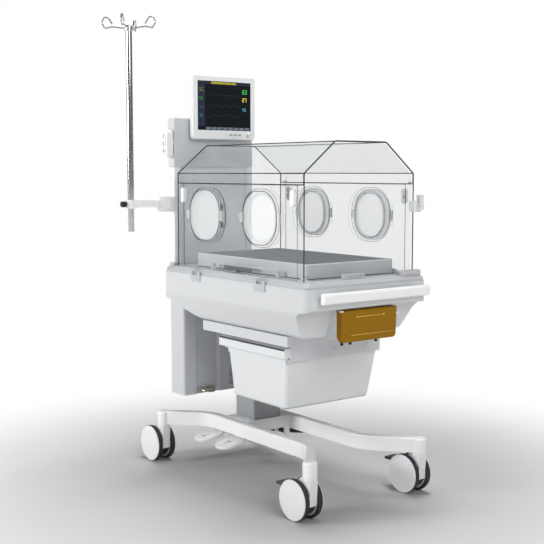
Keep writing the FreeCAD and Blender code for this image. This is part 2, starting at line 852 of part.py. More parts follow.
def deck():
    """Grey deck over the tub with the bed's pivot lugs, the panel hinges and the tilt rail."""
    head = tub_head_x + deck_inset
    foot = tub_foot_x - deck_inset
    half = tub_half_width - deck_inset
    top = tub_top + deck_thickness
    radius = tub_corner_radius - deck_inset
    board = oval("z", tub_top, top, (head + foot) / 2, 0, (foot - head) / 2, half, radius)
    board = board.makeChamfer(deck_chamfer, [e for e in board.Edges if level_edge(top)(e)])
    skirt = deck_chamfer - 2.0
    hollow = oval("z", tub_top - 1.0, top - deck_sheet, (head + foot) / 2, 0, (foot - head) / 2 - skirt,
                  half - skirt, radius - skirt)
    board = board.cut(hollow)
    for x in ((hood_head_x + acrylic + tray_head_x) / 2, (hood_foot_x - acrylic + tray_foot_x) / 2):
        for i in range(-2, 3):
            slot = oval("z", top - deck_sheet - 1.0, top + 1.0, x, i * air_slot_pitch, air_slot_width / 2,
                        air_slot_length / 2, 8.0)
            board = board.cut(slot)
    lugs = []
    for side in (-1, 1):
        inner = side * (tray_half_width + bed_lug_gap)
        outer = side * (tray_half_width + bed_lug_gap + bed_lug_width)
        corners = [(bed_pivot_x - 14.0, top, 0.0), (bed_pivot_x + 14.0, top, 0.0)]
        corners += [(bed_pivot_x + 9.0, bed_pivot_z + 9.0, 8.0), (bed_pivot_x - 9.0, bed_pivot_z + 9.0, 8.0)]
        lug = plate("y", min(inner, outer), max(inner, outer), corners)
        bore = rod(bed_pin_radius + running_clearance, Vec(bed_pivot_x, inner - side, bed_pivot_z),
                   Vec(bed_pivot_x, outer + side, bed_pivot_z))
        lugs.append(lug.cut(bore))
    pad_top = top + corner_pad_height
    corner_pad = oval("z", top, pad_top, foot - corner_pad_half_x - 10.0, half - corner_pad_half_y - deck_chamfer,
                      corner_pad_half_x, corner_pad_half_y, pad_radius)
    corner_pad = rounded_edges(corner_pad, 4.0, level_edge(pad_top))
    head_pad = oval("z", top, top + head_pad_height, head + head_pad_half_x + 18.0, -half + head_pad_half_y + 11.0,
                    head_pad_half_x, head_pad_half_y, pad_radius)
    clip_x = foot - 22.0
    clip = box(clip_x - clip_depth, clip_x, clip_front_y, clip_back_y, top, top + clip_height)
    clip = clip.cut(box(clip_x - clip_depth + 3.0, clip_x + 1.0, clip_front_y + 16.0, clip_back_y - 9.0,
                        top + 5.0, top + clip_height - 5.0))
    pieces = lugs + [corner_pad, head_pad, clip, tilt_rail()]
    for x in (hinge_head_x, hinge_foot_x):
        bracket = hinge_bracket(x)
        pieces += [bracket, mirror_y(bracket)]
    return board.fuse(pieces).removeSplitter()


def handle_bar():
    """Push handle across the foot end: a rounded bar on two stand-off brackets."""
    half_z = handle_height / 2
    low = handle_center_z - half_z
    high = handle_center_z + half_z
    inner_x = handle_outer_x - handle_depth
    section = [(inner_x, low + 3.0, 6.0), (inner_x, high - 3.0, 6.0), (handle_outer_x, high, 13.0)]
    section += [(handle_outer_x, low, 13.0)]
    near = handle_center_y - handle_half_length
    far = handle_center_y + handle_half_length
    bar = plate("y", near, far, section)
    bar = rounded_edges(bar, handle_end_round, lambda e: e.BoundBox.YLength < 1e-4)
    brackets = []
    for side in (-1, 1):
        outer = handle_center_y + side * (handle_half_length - handle_bracket_inset)
        inner = outer - side * handle_bracket_width
        brackets.append(box(tub_foot_x, inner_x + 2.0, min(outer, inner), max(outer, inner),
                            low + 5.0, high - 5.0))
    return bar.fuse(brackets).removeSplitter()


# Support frame and drawer

def runner_z():
    """Top face of the ledges that carry the drawer's flanges."""
    return side_plate_bottom + side_plate_sheet


def head_plate_x():
    """Inner face of the head-side drawer plate."""
    return bin_head_x - (side_plate_foot_x - side_plate_sheet - bin_foot_x) + runner_side_gap + 2.0


def support_frame():
    """Folded sheet frame under the tub, with side plates whose ledges carry the drawer."""
    top = tub_bottom
    frame = box(frame_head_x, frame_foot_x, -frame_half_width, frame_half_width, frame_bottom, top)
    sheet = frame_sheet
    hollow = box(frame_head_x + sheet, frame_foot_x - sheet, -frame_half_width + sheet,
                 frame_half_width - sheet, frame_bottom + sheet, top - sheet)
    opening_half = frame_half_width - frame_opening_margin_y
    cutout = box(frame_opening_head_x, frame_foot_x - frame_opening_margin_x, -opening_half, opening_half,
                 frame_bottom - 1.0, frame_bottom + sheet + 1.0)
    frame = frame.cut(hollow).cut(cutout)
    inner_foot = side_plate_foot_x - side_plate_sheet
    inner_head = head_plate_x()
    for inner, outer, ledge in ((inner_foot, side_plate_foot_x, inner_foot - runner_ledge + 3.0),
                                (inner_head, inner_head - side_plate_sheet, inner_head + 5.0)):
        front = bin_front_y + part_clearance
        back = side_plate_back_y
        upright = box(min(inner, outer), max(inner, outer), front, back,
                      side_plate_bottom, frame_bottom + 1.0)
        shelf = box(min(outer, ledge), max(outer, ledge), front, back, side_plate_bottom, runner_z())
        frame = frame.fuse([upright, shelf])
    for y in frame_screw_ys:
        start = Vec(side_plate_foot_x - 1.0, y, frame_screw_z)
        end = Vec(side_plate_foot_x + frame_screw_rise, y, frame_screw_z)
        frame = frame.fuse(rod(frame_screw_radius, start, end))
    return frame.removeSplitter()


def bin_form(inset, top):
    """Tapered tub of the drawer, widest at the top."""
    r = bin_corner_radius - inset
    low = bin_bottom + inset

    def ring(z, share):
        x0 = bin_head_x + share * bin_taper_x + inset
        x1 = bin_foot_x - share * bin_taper_x * 0.4 - inset
        y0 = bin_front_y + share * 4.0 + inset
        y1 = bin_back_y - share * bin_taper_y - inset
        face = outline("z", z, [(x0, y0, r), (x1, y0, r), (x1, y1, r), (x0, y1, r)])
        return face.OuterWire

    return Part.makeLoft([ring(low, 1.0), ring(top, 0.0)], True, True)


def drawer_bin():
    """Storage drawer: tapered bin, side flanges on the ledges and a hollow front rail."""
    flange_z = runner_z() + part_clearance
    rim = flange_z + bin_flange_thickness
    flange_back = bin_back_y - bin_flange_back_gap
    form = bin_form(0.0, rim)
    form = rounded_edges(form, bin_bottom_round, level_edge(bin_bottom))
    bin_solid = form.cut(bin_form(bin_wall, rim + 1.0))
    foot_flange = box(bin_foot_x - 2.0, side_plate_foot_x - side_plate_sheet - runner_side_gap,
                      bin_front_y, flange_back, flange_z, rim)
    head_flange = box(head_plate_x() + 2.0, bin_head_x + 2.0, bin_front_y, flange_back, flange_z, rim)
    wall_x0 = bin_head_x + 8.0
    wall_x1 = bin_foot_x - 8.0
    front_wall = box(wall_x0, wall_x1, bin_front_y, bin_front_y + bin_wall, rim - 20.0, bin_top)
    section = [(bin_front_y, rail_bottom + 6.0, 0.0), (bin_front_y, bin_top, 0.0)]
    section += [(rail_front_y, bin_top - 3.0, 8.0), (rail_front_y + 2.0, rail_bottom, 5.0)]
    section += [(bin_front_y - 12.0, rail_bottom, 0.0), (bin_front_y - 12.0, rail_bottom + 6.0, 0.0)]
    rail = plate("x", rail_head_x, rail_foot_x, section)
    groove = box(rail_head_x + rail_groove_inset, rail_foot_x - rail_groove_inset, rail_front_y + 8.0,
                 bin_front_y - 4.0, rail_bottom - 1.0, bin_top - 12.0)
    rail = rail.cut(groove)
    return bin_solid.fuse([foot_flange, head_flange, front_wall, rail]).removeSplitter()


# Head end

def rear_housing():
    """Service housing under the head end, with a stepped inner face and louvres at its bottom."""
    step = housing_step
    half = housing_half_width
    recess_front = housing_recess_front_y
    recess_back = housing_recess_back_y
    slant = housing_recess_slant
    plan = [(housing_head_x, -half, 8.0), (housing_foot_x, -half, 10.0), (housing_foot_x, recess_front, 6.0)]
    plan += [(housing_foot_x - step, recess_front + slant, 6.0)]
    plan += [(housing_foot_x - step, recess_back - slant, 6.0), (housing_foot_x, recess_back, 6.0)]
    plan += [(housing_foot_x, half, 10.0), (housing_head_x, half, 8.0)]
    slab = plate("z", housing_bottom, tub_crease, plan)
    slab = slab.cut(tub_form(0.0))
    slab = slab.cut(box(tub_head_x, housing_foot_x + 1.0, -half - 1.0, half + 1.0,
                        tub_head_crease - 2.0, tub_crease + 1.0))
    slab = [s for s in slab.Solids if s.BoundBox.ZMin < housing_bottom + 1.0][0]
    spine = [(housing_head_x, -half, 8.0), (tub_head_x, -half, 2.0), (tub_head_x, half, 2.0),
             (housing_head_x, half, 8.0)]
    slab = slab.fuse(plate("z", tub_bottom, tub_top + deck_thickness, spine)).removeSplitter()
    wall = housing_wall
    cavity = box(housing_head_x + wall, housing_foot_x - step - wall, -half + wall, half - wall,
                 housing_bottom + wall, tub_bottom + 15.0)
    slab = slab.cut(cavity)
    for i in range(louvre_count):
        z = housing_bottom + 22.0 + i * louvre_pitch
        slab = slab.cut(box(housing_foot_x - step - 8.0, housing_foot_x + 1.0, louvre_front_y, louvre_back_y,
                            z, z + louvre_height))
    return slab


def gas_inlet():
    """Threaded gas inlet with a hose barb, and the small regulator block beside it."""
    x = housing_foot_x - housing_step
    y = inlet_y
    z = inlet_z
    block = box(x, x + 24.0, y + 28.0, y + 56.0, z - 12.0, z + 12.0)
    profile = [(0.0, 0.0), (13.0, 0.0), (14.0, 1.0), (14.0, 9.0), (10.0, 10.0), (8.0, 10.0), (8.0, 20.0)]
    profile += [(6.0, 22.0), (6.0, 25.0), (8.0, 25.0), (6.0, 30.0), (8.0, 30.0), (5.5, 36.0), (0.0, 36.0)]
    nut = turned(profile, Vec(x, y, z), Vec(1, 0, 0))
    bridge = box(x, x + 8.0, y, y + 30.0, z - 6.0, z + 6.0)
    return nut.fuse([bridge, block]).removeSplitter()


def tower():
    """Head-end tower: two posts and a back sheet with a raised white service cover."""
    low = tub_top + deck_thickness
    middle = (tower_head_x + tower_foot_x) / 2
    half_depth = (tower_foot_x - tower_head_x) / 2
    half_post = tower_post_width / 2
    posts = []
    for y in (tower_front_y + half_post, tower_back_y - half_post):
        posts.append(oval("z", low, box_bottom, middle, y, half_depth, half_post, 5.0))
    sheet_x = tower_head_x + tower_sheet_start
    cover_x = sheet_x + tower_sheet
    sheet = box(sheet_x, cover_x, tower_front_y + 10.0, tower_back_y - 10.0, low, box_bottom)
    cover_low = low + cover_rise
    cover_high = box_bottom - 6.0
    cover = plate("x", cover_x, tower_foot_x - 4.0,
                  [(cover_front_y, cover_low, 6.0), (cover_back_y, cover_low, 6.0),
                   (cover_back_y, cover_high, 6.0), (cover_front_y, cover_high, 6.0)])
    return sheet.fuse(posts + [cover]).removeSplitter()


def control_box():
    """Controller housing on the tower, with the upright bracket and pin that carry the monitor."""
    y0 = tower_front_y
    y1 = tower_back_y
    radius = box_corner_radius
    case = plate("x", box_head_x, box_foot_x, [(y0, box_bottom, radius), (y1, box_bottom, radius),
                                               (y1, box_top, radius), (y0, box_top, radius)])
    front = [e for e in case.Edges if abs(e.BoundBox.XMin - box_foot_x) < 1e-4
             and abs(e.BoundBox.XMax - box_foot_x) < 1e-4]
    case = case.makeFillet(3.0, front)
    wall = box_wall
    inset = wall + 6.0
    case = case.cut(box(box_head_x + wall, box_foot_x - wall, y0 + inset, y1 - inset,
                        box_bottom + inset, box_top - inset))
    back = box_head_x + neck_back
    middle = (monitor_front_side_y + monitor_back_side_y) / 2
    left = middle - neck_half_width
    right = middle + neck_half_width
    neck_top = monitor_pivot_z + 15.0
    neck = plate("x", back, back + neck_sheet, [(left, box_top - wall, 0.0), (right, box_top - wall, 0.0),
                                                (right, neck_top, 10.0), (left, neck_top, 10.0)])
    ears = []
    for start in (left, right - ear_width):
        end = start + ear_width
        ears.append(rod(ear_radius, Vec(monitor_pivot_x, start, monitor_pivot_z),
                        Vec(monitor_pivot_x, end, monitor_pivot_z)))
        ears.append(box(back, monitor_pivot_x, start, end, monitor_pivot_z - ear_radius,
                        monitor_pivot_z + ear_radius))
    pin = rod(monitor_pin_radius, Vec(monitor_pivot_x, left, monitor_pivot_z),
              Vec(monitor_pivot_x, right, monitor_pivot_z))
    louvres = []
    for i in range(box_louvre_count):
        z = box_bottom + 40.0 + i * box_louvre_pitch
        louvres.append(box(box_head_x - 1.0, box_head_x + wall + 1.0, box_louvre_front_y, box_louvre_back_y,
                           z, z + box_louvre_height))
    return case.cut(Part.makeCompound(louvres)).fuse(ears + [neck, pin]).removeSplitter()


def sensor_module():
    """Connector module on the side of the control box, with a round socket of its own depth for each sensor."""
    y0 = module_front_y
    y1 = module_front_y + module_depth
    x0 = module_head_x
    x1 = module_foot_x
    middle = (x0 + x1) / 2
    case = plate("y", y0, y1, [(x0, module_bottom, 8.0), (x1, module_bottom, 8.0),
                               (x1, module_top, 14.0), (x0, module_top, 14.0)])
    boss_z = (box_bottom + box_top) / 2 - 3.0
    boss = rod(module_boss_radius, Vec(middle, y1 - 1.0, boss_z), Vec(middle, tower_front_y, boss_z))
    case = case.fuse(boss)
    rim = y0 - socket_ring_rise
    for z, depth in zip(socket_zs, socket_depths):
        ring = peg("y", rim, y0 + 1.0, middle, z, socket_ring_radius)
        well = peg("y", rim - 1.0, rim + depth, middle, z, socket_radius)
        case = case.fuse(ring).cut(well)
    return case.removeSplitter()


# Hood

def end_panel(inner_x, outer_x, toward):
    """Moulded acrylic end of the hood: end wall with a corner return along each long side."""
    low = hood_bottom
    high = hood_split
    half = hood_half_width
    wall = box(min(inner_x, outer_x), max(inner_x, outer_x), -half, half, low, high)
    returns = []
    for side in (-1, 1):
        y_out = side * half
        y_in = side * (half - acrylic)
        x_end = outer_x + toward * post_width
        returns.append(box(min(outer_x, x_end), max(outer_x, x_end), min(y_in, y_out), max(y_in, y_out),
                           low, high))
    panel = wall.fuse(returns).removeSplitter()
    knuckle_start = outer_x + toward * canopy_knuckle_start
    knuckle_end = knuckle_start + toward * canopy_knuckle_length
    pin_end = knuckle_end + toward * (canopy_knuckle_length + part_clearance)
    y = canopy_hinge_y
    z = hood_split + canopy_hinge_rise
    knuckle = rod(hinge_knuckle_radius, Vec(knuckle_start, y, z), Vec(knuckle_end, y, z))
    low_x = min(knuckle_start, knuckle_end)
    high_x = max(knuckle_start, knuckle_end)
    foot = box(low_x, high_x, half, y + 3.0, high - 22.0, high - 2.0)
    foot = foot.fuse(box(low_x, high_x, half + 2.0, y + 3.0, high - 3.0, z))
    pin = rod(hinge_pin_radius, Vec(knuckle_start, y, z), Vec(pin_end, y, z))
    return panel.fuse([knuckle, foot, pin]).removeSplitter()


def canopy_section(inset):
    """End outline of the canopy: short upright sides, sloping shoulders and a flat top."""
    half = hood_half_width - inset
    slope = inset * 0.42
    low = hood_split + panel_gap
    if inset > 0:
        low = low - 1.0
    r = hood_bend_radius
    points = [(-half, low, 0.0), (-half, hood_bend - slope, r)]
    points += [(-hood_top_half_width + slope, hood_top - inset, r)]
    points += [(hood_top_half_width - slope, hood_top - inset, r), (half, hood_bend - slope, r)]
    points += [(half, low, 0.0)]
    return points


def canopy():
    """Clear tilting top of the hood, a closed-ended folded shell with hinge knuckles at the rear."""
    outer = plate("x", hood_head_x, hood_foot_x, canopy_section(0.0))
    inner = plate("x", hood_head_x + acrylic, hood_foot_x - acrylic, canopy_section(acrylic))
    shell = outer.cut(inner)
    for outer_x, toward in ((hood_head_x, 1.0), (hood_foot_x, -1.0)):
        start = outer_x + toward * (canopy_knuckle_start + canopy_knuckle_length + part_clearance)
        end = start + toward * canopy_knuckle_length
        y = canopy_hinge_y
        z = hood_split + canopy_hinge_rise
        knuckle = rod(hinge_knuckle_radius, Vec(start, y, z), Vec(end, y, z))
        foot = box(min(start, end), max(start, end), hood_half_width - 1.0, y, z + 1.0, z + 20.0)
        bore = rod(hinge_pin_radius + running_clearance, Vec(start - toward, y, z), Vec(end + toward, y, z))
        shell = shell.fuse([knuckle, foot]).cut(bore)
    return shell.removeSplitter()


def side_panel():
    """Clear drop-down panel with two framed hand ports, hinge arms and latch holes, front side."""
    half = hood_half_width
    y_out = -half
    y_in = -half + acrylic
    x0 = hood_head_x + post_width + panel_gap
    x1 = hood_foot_x - post_width - panel_gap
    z0 = hood_bottom + panel_floor_gap
    z1 = hood_split - panel_gap
    panel = plate("y", y_out, y_in, [(x0, z0, 2.0), (x1, z0, 2.0), (x1, z1, 2.0), (x0, z1, 2.0)])
    holes = []
    frames = []
    ring_front = y_out - port_ring_depth
    ring_back = y_in + 6.0
    for x in (port_head_x, port_foot_x):
        frames.append(oval("y", ring_front, ring_back, x, port_z, port_ring_half_x, port_ring_half_z,
                           port_ring_radius))
        holes.append(oval("y", ring_front - 1.0, ring_back + 1.0, x, port_z, port_hole_half_x,
                          port_hole_half_z, port_hole_radius))
    panel = panel.fuse(frames).cut(Part.makeCompound(holes))
    hinge_y = ring_front - port_hinge_rise
    pieces = []
    for x in (port_head_x, port_foot_x):
        hinge_x = x + port_hinge_offset
        r = port_knuckle_radius
        for low in (port_z + port_knuckle_low, port_z - port_knuckle_low - port_knuckle_length):
            high = low + port_knuckle_length
            pieces.append(rod(r, Vec(hinge_x, hinge_y, low), Vec(hinge_x, hinge_y, high)))
            pieces.append(box(hinge_x - r, hinge_x + r, hinge_y, y_out + 1.0, low, high))
        pieces.append(rod(port_pin_radius, Vec(hinge_x, hinge_y, port_z - port_knuckle_low - 10.0),
                          Vec(hinge_x, hinge_y, port_z + port_knuckle_low + 10.0)))
        keeper = x - port_ring_half_x
        pieces.append(box(keeper - 9.0, keeper + 4.0, ring_front, y_out + 1.0, port_z - 16.0,
                          port_z + 16.0))
    knuckle_half = hinge_width / 2 - hinge_ear - part_clearance
    for x in (hinge_head_x, hinge_foot_x):
        arm = [(y_in, z0, 0.0), (y_in, z0 + 12.0, 2.0), (y_out - 3.0, z0 + 12.0, 3.0)]
        arm += [(-panel_hinge_y - 4.0, panel_hinge_z + 6.0, 2.0), (-panel_hinge_y, panel_hinge_z, 0.0)]
        arm += [(-panel_hinge_y + 5.0, panel_hinge_z + 3.0, 0.0), (y_out - 9.0, z0 + 0.5, 4.0)]
        pieces.append(plate("x", x - knuckle_half, x + knuckle_half, arm))
        pieces.append(rod(hinge_knuckle_radius, Vec(x - knuckle_half, -panel_hinge_y, panel_hinge_z),
                          Vec(x + knuckle_half, -panel_hinge_y, panel_hinge_z)))
    panel = panel.fuse(pieces)
    for x in (hinge_head_x, hinge_foot_x):
        start = Vec(x - hinge_width, -panel_hinge_y, panel_hinge_z)
        end = Vec(x + hinge_width, -panel_hinge_y, panel_hinge_z)
        panel = panel.cut(rod(hinge_pin_radius + running_clearance, start, end))
    for x in (x0 + latch_x_inset, x1 - latch_x_inset):
        panel = panel.cut(rod(latch_pin_radius + running_clearance, Vec(x, y_out - 1.0, latch_z),
                              Vec(x, y_in + 1.0, latch_z)))
    return panel.removeSplitter()


def panel_latch(x):
    """White capsule turn knob on a pin through the panel, front side."""
    y_out = -hood_half_width - part_clearance
    half = latch_length / 2
    r = latch_width / 2
    knob = oval("y", y_out - latch_depth, y_out, x, latch_z, r, half, r - 0.2)
    front = [e for e in knob.Edges if abs(e.BoundBox.YMin - (y_out - latch_depth)) < 1e-4
             and abs(e.BoundBox.YMax - (y_out - latch_depth)) < 1e-4]
    knob = knob.makeFillet(4.0, front)
    pin = rod(latch_pin_radius, Vec(x, y_out - 2.0, latch_z),
              Vec(x, -hood_half_width + acrylic + 4.0, latch_z))
    return knob.fuse(pin).removeSplitter()


def port_door(x):
    """Round-cornered clear door of a hand port, with its knuckle and thumb latch, front side."""
    ring_front = -hood_half_width - port_ring_depth
    y1 = ring_front - part_clearance
    y0 = y1 - port_door_thickness
    hinge_x = x + port_hinge_offset
    hinge_y = ring_front - port_hinge_rise
    door = oval("y", y0, y1, x, port_z, port_door_half_x, port_door_half_z, port_door_radius)
    front = [e for e in door.Edges if abs(e.BoundBox.YMin - y0) < 1e-4 and abs(e.BoundBox.YMax - y0) < 1e-4]
    door = door.makeFillet(2.0, front)
    low = port_z - port_knuckle_low + part_clearance
    high = port_z + port_knuckle_low - part_clearance
    knuckle = rod(port_knuckle_radius, Vec(hinge_x, hinge_y, low), Vec(hinge_x, hinge_y, high))
    tab = box(x + port_door_half_x - 6.0, hinge_x, y0, y1 - 0.4, low, high)
    latch_x = x - port_door_half_x
    half = port_latch_length / 2
    grip = [(latch_x - 14.0, port_z - half * 0.6, 5.0), (latch_x + 8.0, port_z - half, 6.0)]
    grip += [(latch_x + 8.0, port_z + half, 6.0), (latch_x - 14.0, port_z + half * 0.6, 5.0)]
    latch = plate("y", y0 - 9.0, y1 - 0.4, grip)
    door = door.fuse([knuckle, tab, latch])
    bore = rod(port_pin_radius + running_clearance, Vec(hinge_x, hinge_y, low - 40.0),
               Vec(hinge_x, hinge_y, high + 40.0))
    return door.cut(bore).removeSplitter()


# Bed and tilt control

def bed_tray():
    """Grey bed tray with a raised rim and two pivot pins at the foot end."""
    half = tray_half_width
    center = (tray_head_x + tray_foot_x) / 2
    length = (tray_foot_x - tray_head_x) / 2
    radius = tray_corner_radius
    outer = oval("z", tray_bottom, tray_top, center, 0, length, half, radius)
    outer = rounded_edges(outer, 4.0, level_edge(tray_top))
    wall = tray_wall
    inner = oval("z", tray_bottom + wall, tray_top + 1.0, center, 0, length - wall, half - wall, radius - 5.0)
    tray = outer.cut(inner)
    for side in (-1, 1):
        pin = rod(bed_pin_radius, Vec(bed_pivot_x, side * (half - 3.0), bed_pivot_z),
                  Vec(bed_pivot_x, side * (half + bed_pin_reach), bed_pivot_z))
        pad_low = deck_top() + part_clearance
        pad = Part.makeCylinder(tray_foot_radius, tray_bottom + 2.0 - pad_low,
                                Vec(tray_head_x + tray_foot_inset, side * (half - tray_foot_inset), pad_low))
        tray = tray.fuse([pin, pad])
    return tray.removeSplitter()


def mattress():
    """Foam mattress with softened edges, lying in the tray."""
    gap = tray_wall + mattress_inset
    low = tray_bottom + tray_wall + part_clearance
    center = (tray_head_x + tray_foot_x) / 2
    length = (tray_foot_x - tray_head_x) / 2 - gap
    pad = oval("z", low, low + mattress_thickness, center, 0, length, tray_half_width - gap, 16.0)
    return rounded_edges(pad, 12.0, level_edge(low + mattress_thickness))


def tilt_slider():
    """Tilt control: a knob that runs in the slot and the dark grip bar above it."""
    y0 = tilt_rail_y
    y1 = tilt_rail_y + tilt_rail_sheet
    gap = part_clearance
    mid_z = (tilt_slot_low + tilt_slot_high) / 2
    half_z = (tilt_slot_high - tilt_slot_low) / 2 - gap
    shank = box(tilt_knob_x - 8.0, tilt_knob_x + 8.0, y0 - 4.0, y1 + 5.0, mid_z - half_z, mid_z + half_z)
    knob = rod(tilt_knob_radius, Vec(tilt_knob_x, y0 - 10.0, mid_z + 0.5), Vec(tilt_knob_x, y0 - gap, mid_z + 0.5))
    bar_x0 = tilt_knob_x - tilt_handle_length / 2
    bar_x1 = tilt_knob_x + tilt_handle_length / 2
    bar_z0 = tilt_handle_bottom + 0.5
    bar = plate("y", y0 - 9.0, y0 - gap, [(bar_x0, bar_z0, 4.0), (bar_x1, bar_z0, 4.0),
                                          (bar_x1, tilt_handle_top, 4.0), (bar_x0, tilt_handle_top, 4.0)])
    link = box(tilt_knob_x - 6.0, tilt_knob_x + 6.0, y0 - 8.0, y0 - gap, mid_z, tilt_handle_bottom + 4.0)
    keeper = box(tilt_knob_x - 12.0, tilt_knob_x + 12.0, y1 + gap, y1 + 5.0, mid_z - half_z, mid_z + 6.0)
    return shank.fuse([knob, bar, link, keeper]).removeSplitter()


# Monitor

def monitor_housing():
    """Display housing: rounded bezel with a screen recess, key pads and a lug at the back."""
    x1 = monitor_front_x
    x0 = x1 - monitor_depth
    y0 = monitor_front_side_y
    y1 = monitor_back_side_y
    middle = (y0 + y1) / 2
    radius = monitor_corner_radius
    case = plate("x", x0, x1, [(y0, monitor_bottom, radius), (y1, monitor_bottom, radius),
                               (y1, monitor_top, radius), (y0, monitor_top, radius)])
    faces = [e for e in case.Edges if abs(e.BoundBox.XMin - e.BoundBox.XMax) < 1e-4]
    case = case.makeFillet(4.0, faces)
    recess = box(x1 - screen_recess, x1 + 1.0, middle - screen_half_width, middle + screen_half_width,
                 screen_bottom, screen_top)
    inside = box(x0 + 3.0, x1 - screen_recess - 4.0, y0 + 12.0, y1 - 12.0, screen_bottom, screen_top)
    case = case.cut(recess).cut(inside)
    for i in range(5):
        z = monitor_bottom + 60.0 + i * 12.0
        case = case.cut(box(x0 - 1.0, x0 + 4.0, middle - 40.0, middle + 40.0, z, z + 5.0))
    lug_half = neck_half_width - ear_width - part_clearance
    r = monitor_lug_radius
    lug = rod(r, Vec(monitor_pivot_x, middle - lug_half, monitor_pivot_z),
              Vec(monitor_pivot_x, middle + lug_half, monitor_pivot_z))
    root = box(monitor_pivot_x, x0 + 1.0, middle - lug_half, middle + lug_half,
               monitor_pivot_z - r, monitor_pivot_z + r)
    case = case.fuse([lug, root])
    pads = []
    for i in range(3):
        y = key_first_y + key_size / 2 + i * key_pitch
        pads.append(oval("x", x1 - 1.0, x1 + 1.2, y, encoder_z, key_size / 2, 5.0, 2.0))
    bore = rod(monitor_pin_radius + running_clearance, Vec(monitor_pivot_x, middle - 60.0, monitor_pivot_z),
               Vec(monitor_pivot_x, middle + 60.0, monitor_pivot_z))
    encoder_hole = rod(encoder_shaft_radius + running_clearance,
                       Vec(x1 - encoder_shaft_length - 2.0, encoder_y, encoder_z), Vec(x1 + 1.0, encoder_y, encoder_z))
    return case.fuse(pads).cut(bore).cut(encoder_hole).removeSplitter()


def monitor_screen():
    """Glass of the display in its recess."""
    middle = (monitor_front_side_y + monitor_back_side_y) / 2
    gap = 0.2
    return box(monitor_front_x - screen_recess, monitor_front_x - 0.4, middle - screen_half_width + gap,
               middle + screen_half_width - gap, screen_bottom + gap, screen_top - gap)


def encoder_knob():
    """Rotary control on the bezel with a shaft in the housing."""
    x = monitor_front_x
    r = encoder_radius
    shaft = encoder_shaft_radius
    seat = encoder_shaft_length + part_clearance
    end = encoder_shaft_length + encoder_length
    profile = [(0.0, 0.0), (shaft, 0.0), (shaft, seat), (r, seat), (r, end - 2.0), (r - 2.0, end), (0.0, end)]
    return turned(profile, Vec(x - encoder_shaft_length, encoder_y, encoder_z), Vec(1, 0, 0))


# Infusion pole and holders

def wire_path(points, radius, bend):
    """Round wire along straight runs joined by tangent arcs."""
    edges = []
    start = points[0]
    for i in range(1, len(points) - 1):
        back = points[i - 1].sub(points[i]).normalize()
        ahead = points[i + 1].sub(points[i]).normalize()
        half = back.getAngle(ahead) / 2
        reach = bend / math.tan(half)
        arrive = points[i].add(back * reach)
        leave = points[i].add(ahead * reach)
        inward = back.add(ahead).normalize()
        middle = points[i].add(inward * (bend / math.sin(half) - bend))
        edges.append(Part.LineSegment(start, arrive).toShape())
        edges.append(Part.Arc(arrive, middle, leave).toShape())
        start = leave
    edges.append(Part.LineSegment(start, points[-1]).toShape())
    path = Part.Wire(edges)
    direction = points[1].sub(points[0])
    section = Part.Wire(Part.makeCircle(radius, points[0], direction))
    return path.makePipeShell([section], True, False)


def iv_pole():
    """Stainless tube with an end plug and four wire hooks on a round head."""
    center = Vec(pole_x, pole_y, 0)
    tube = Part.makeCylinder(pole_radius, pole_top - pole_bottom, center + Vec(0, 0, pole_bottom))
    bore = Part.makeCylinder(pole_radius - pole_wall, pole_top - pole_bottom - 20.0,
                             center + Vec(0, 0, pole_bottom - 1.0))
    tube = tube.cut(bore)
    r = pole_head_radius
    head = turned([(0.0, -14.0), (r - 1.0, -14.0), (r, -10.0), (r, 2.0), (r - 4.5, 9.0), (0.0, 10.5)],
                  center + Vec(0, 0, pole_top), Vec(0, 0, 1))
    hooks = []
    for i in range(4):
        turn = math.radians(45.0 + 90.0 * i)
        out = Vec(math.cos(turn), math.sin(turn), 0)
        base = center + Vec(0, 0, pole_top - 4.0)
        reach = hook_reach - hook_wire_radius
        path = [(0.07, 0.0), (0.62, 8.0), (0.88, 2.0), (1.0, 24.0), (0.9, 46.0), (0.75, 43.0), (0.61, 19.0)]
        points = [base + out * (reach * share) + Vec(0, 0, rise) for share, rise in path]
        hooks.append(wire_path(points, hook_wire_radius, hook_bend))
    return tube.fuse([head] + hooks).removeSplitter()


def pole_bracket():
    """Arm from the tower post to the collar that grips the pole."""
    z0 = collar_z - collar_height / 2
    z1 = collar_z + collar_height / 2
    collar = Part.makeCylinder(collar_radius, collar_height, Vec(pole_x, pole_y, z0))
    front = clamp_block_front_y
    arm = box(pole_x - arm_half_width, pole_x + arm_half_width, pole_y + pole_radius, front + 6.0,
              z0 + 3.0, z1 - 3.0)
    block_x0 = pole_x - clamp_block_reach_head
    block_x1 = pole_x + clamp_block_reach_foot
    block = plate("z", z0 - 16.0, z1 + 10.0, [(block_x0, front, 8.0), (block_x1, front, 12.0),
                                              (block_x1, tower_front_y, 6.0), (block_x0, tower_front_y, 6.0)])
    boss_z = collar_z - 12.0
    screw_boss = rod(9.0, Vec(block_x1 - 6.0, clamp_boss_y, boss_z), Vec(block_x1 + 10.0, clamp_boss_y, boss_z))
    bracket = collar.fuse([arm, block, screw_boss])
    bore = Part.makeCylinder(pole_radius + 0.1, collar_height + 2.0, Vec(pole_x, pole_y, z0 - 1.0))
    screw = rod(clamp_screw_radius + running_clearance, Vec(pole_x, pole_y - collar_radius - 1.0, collar_z),
                Vec(pole_x, pole_y, collar_z))
    return bracket.cut(bore.fuse(screw)).removeSplitter()


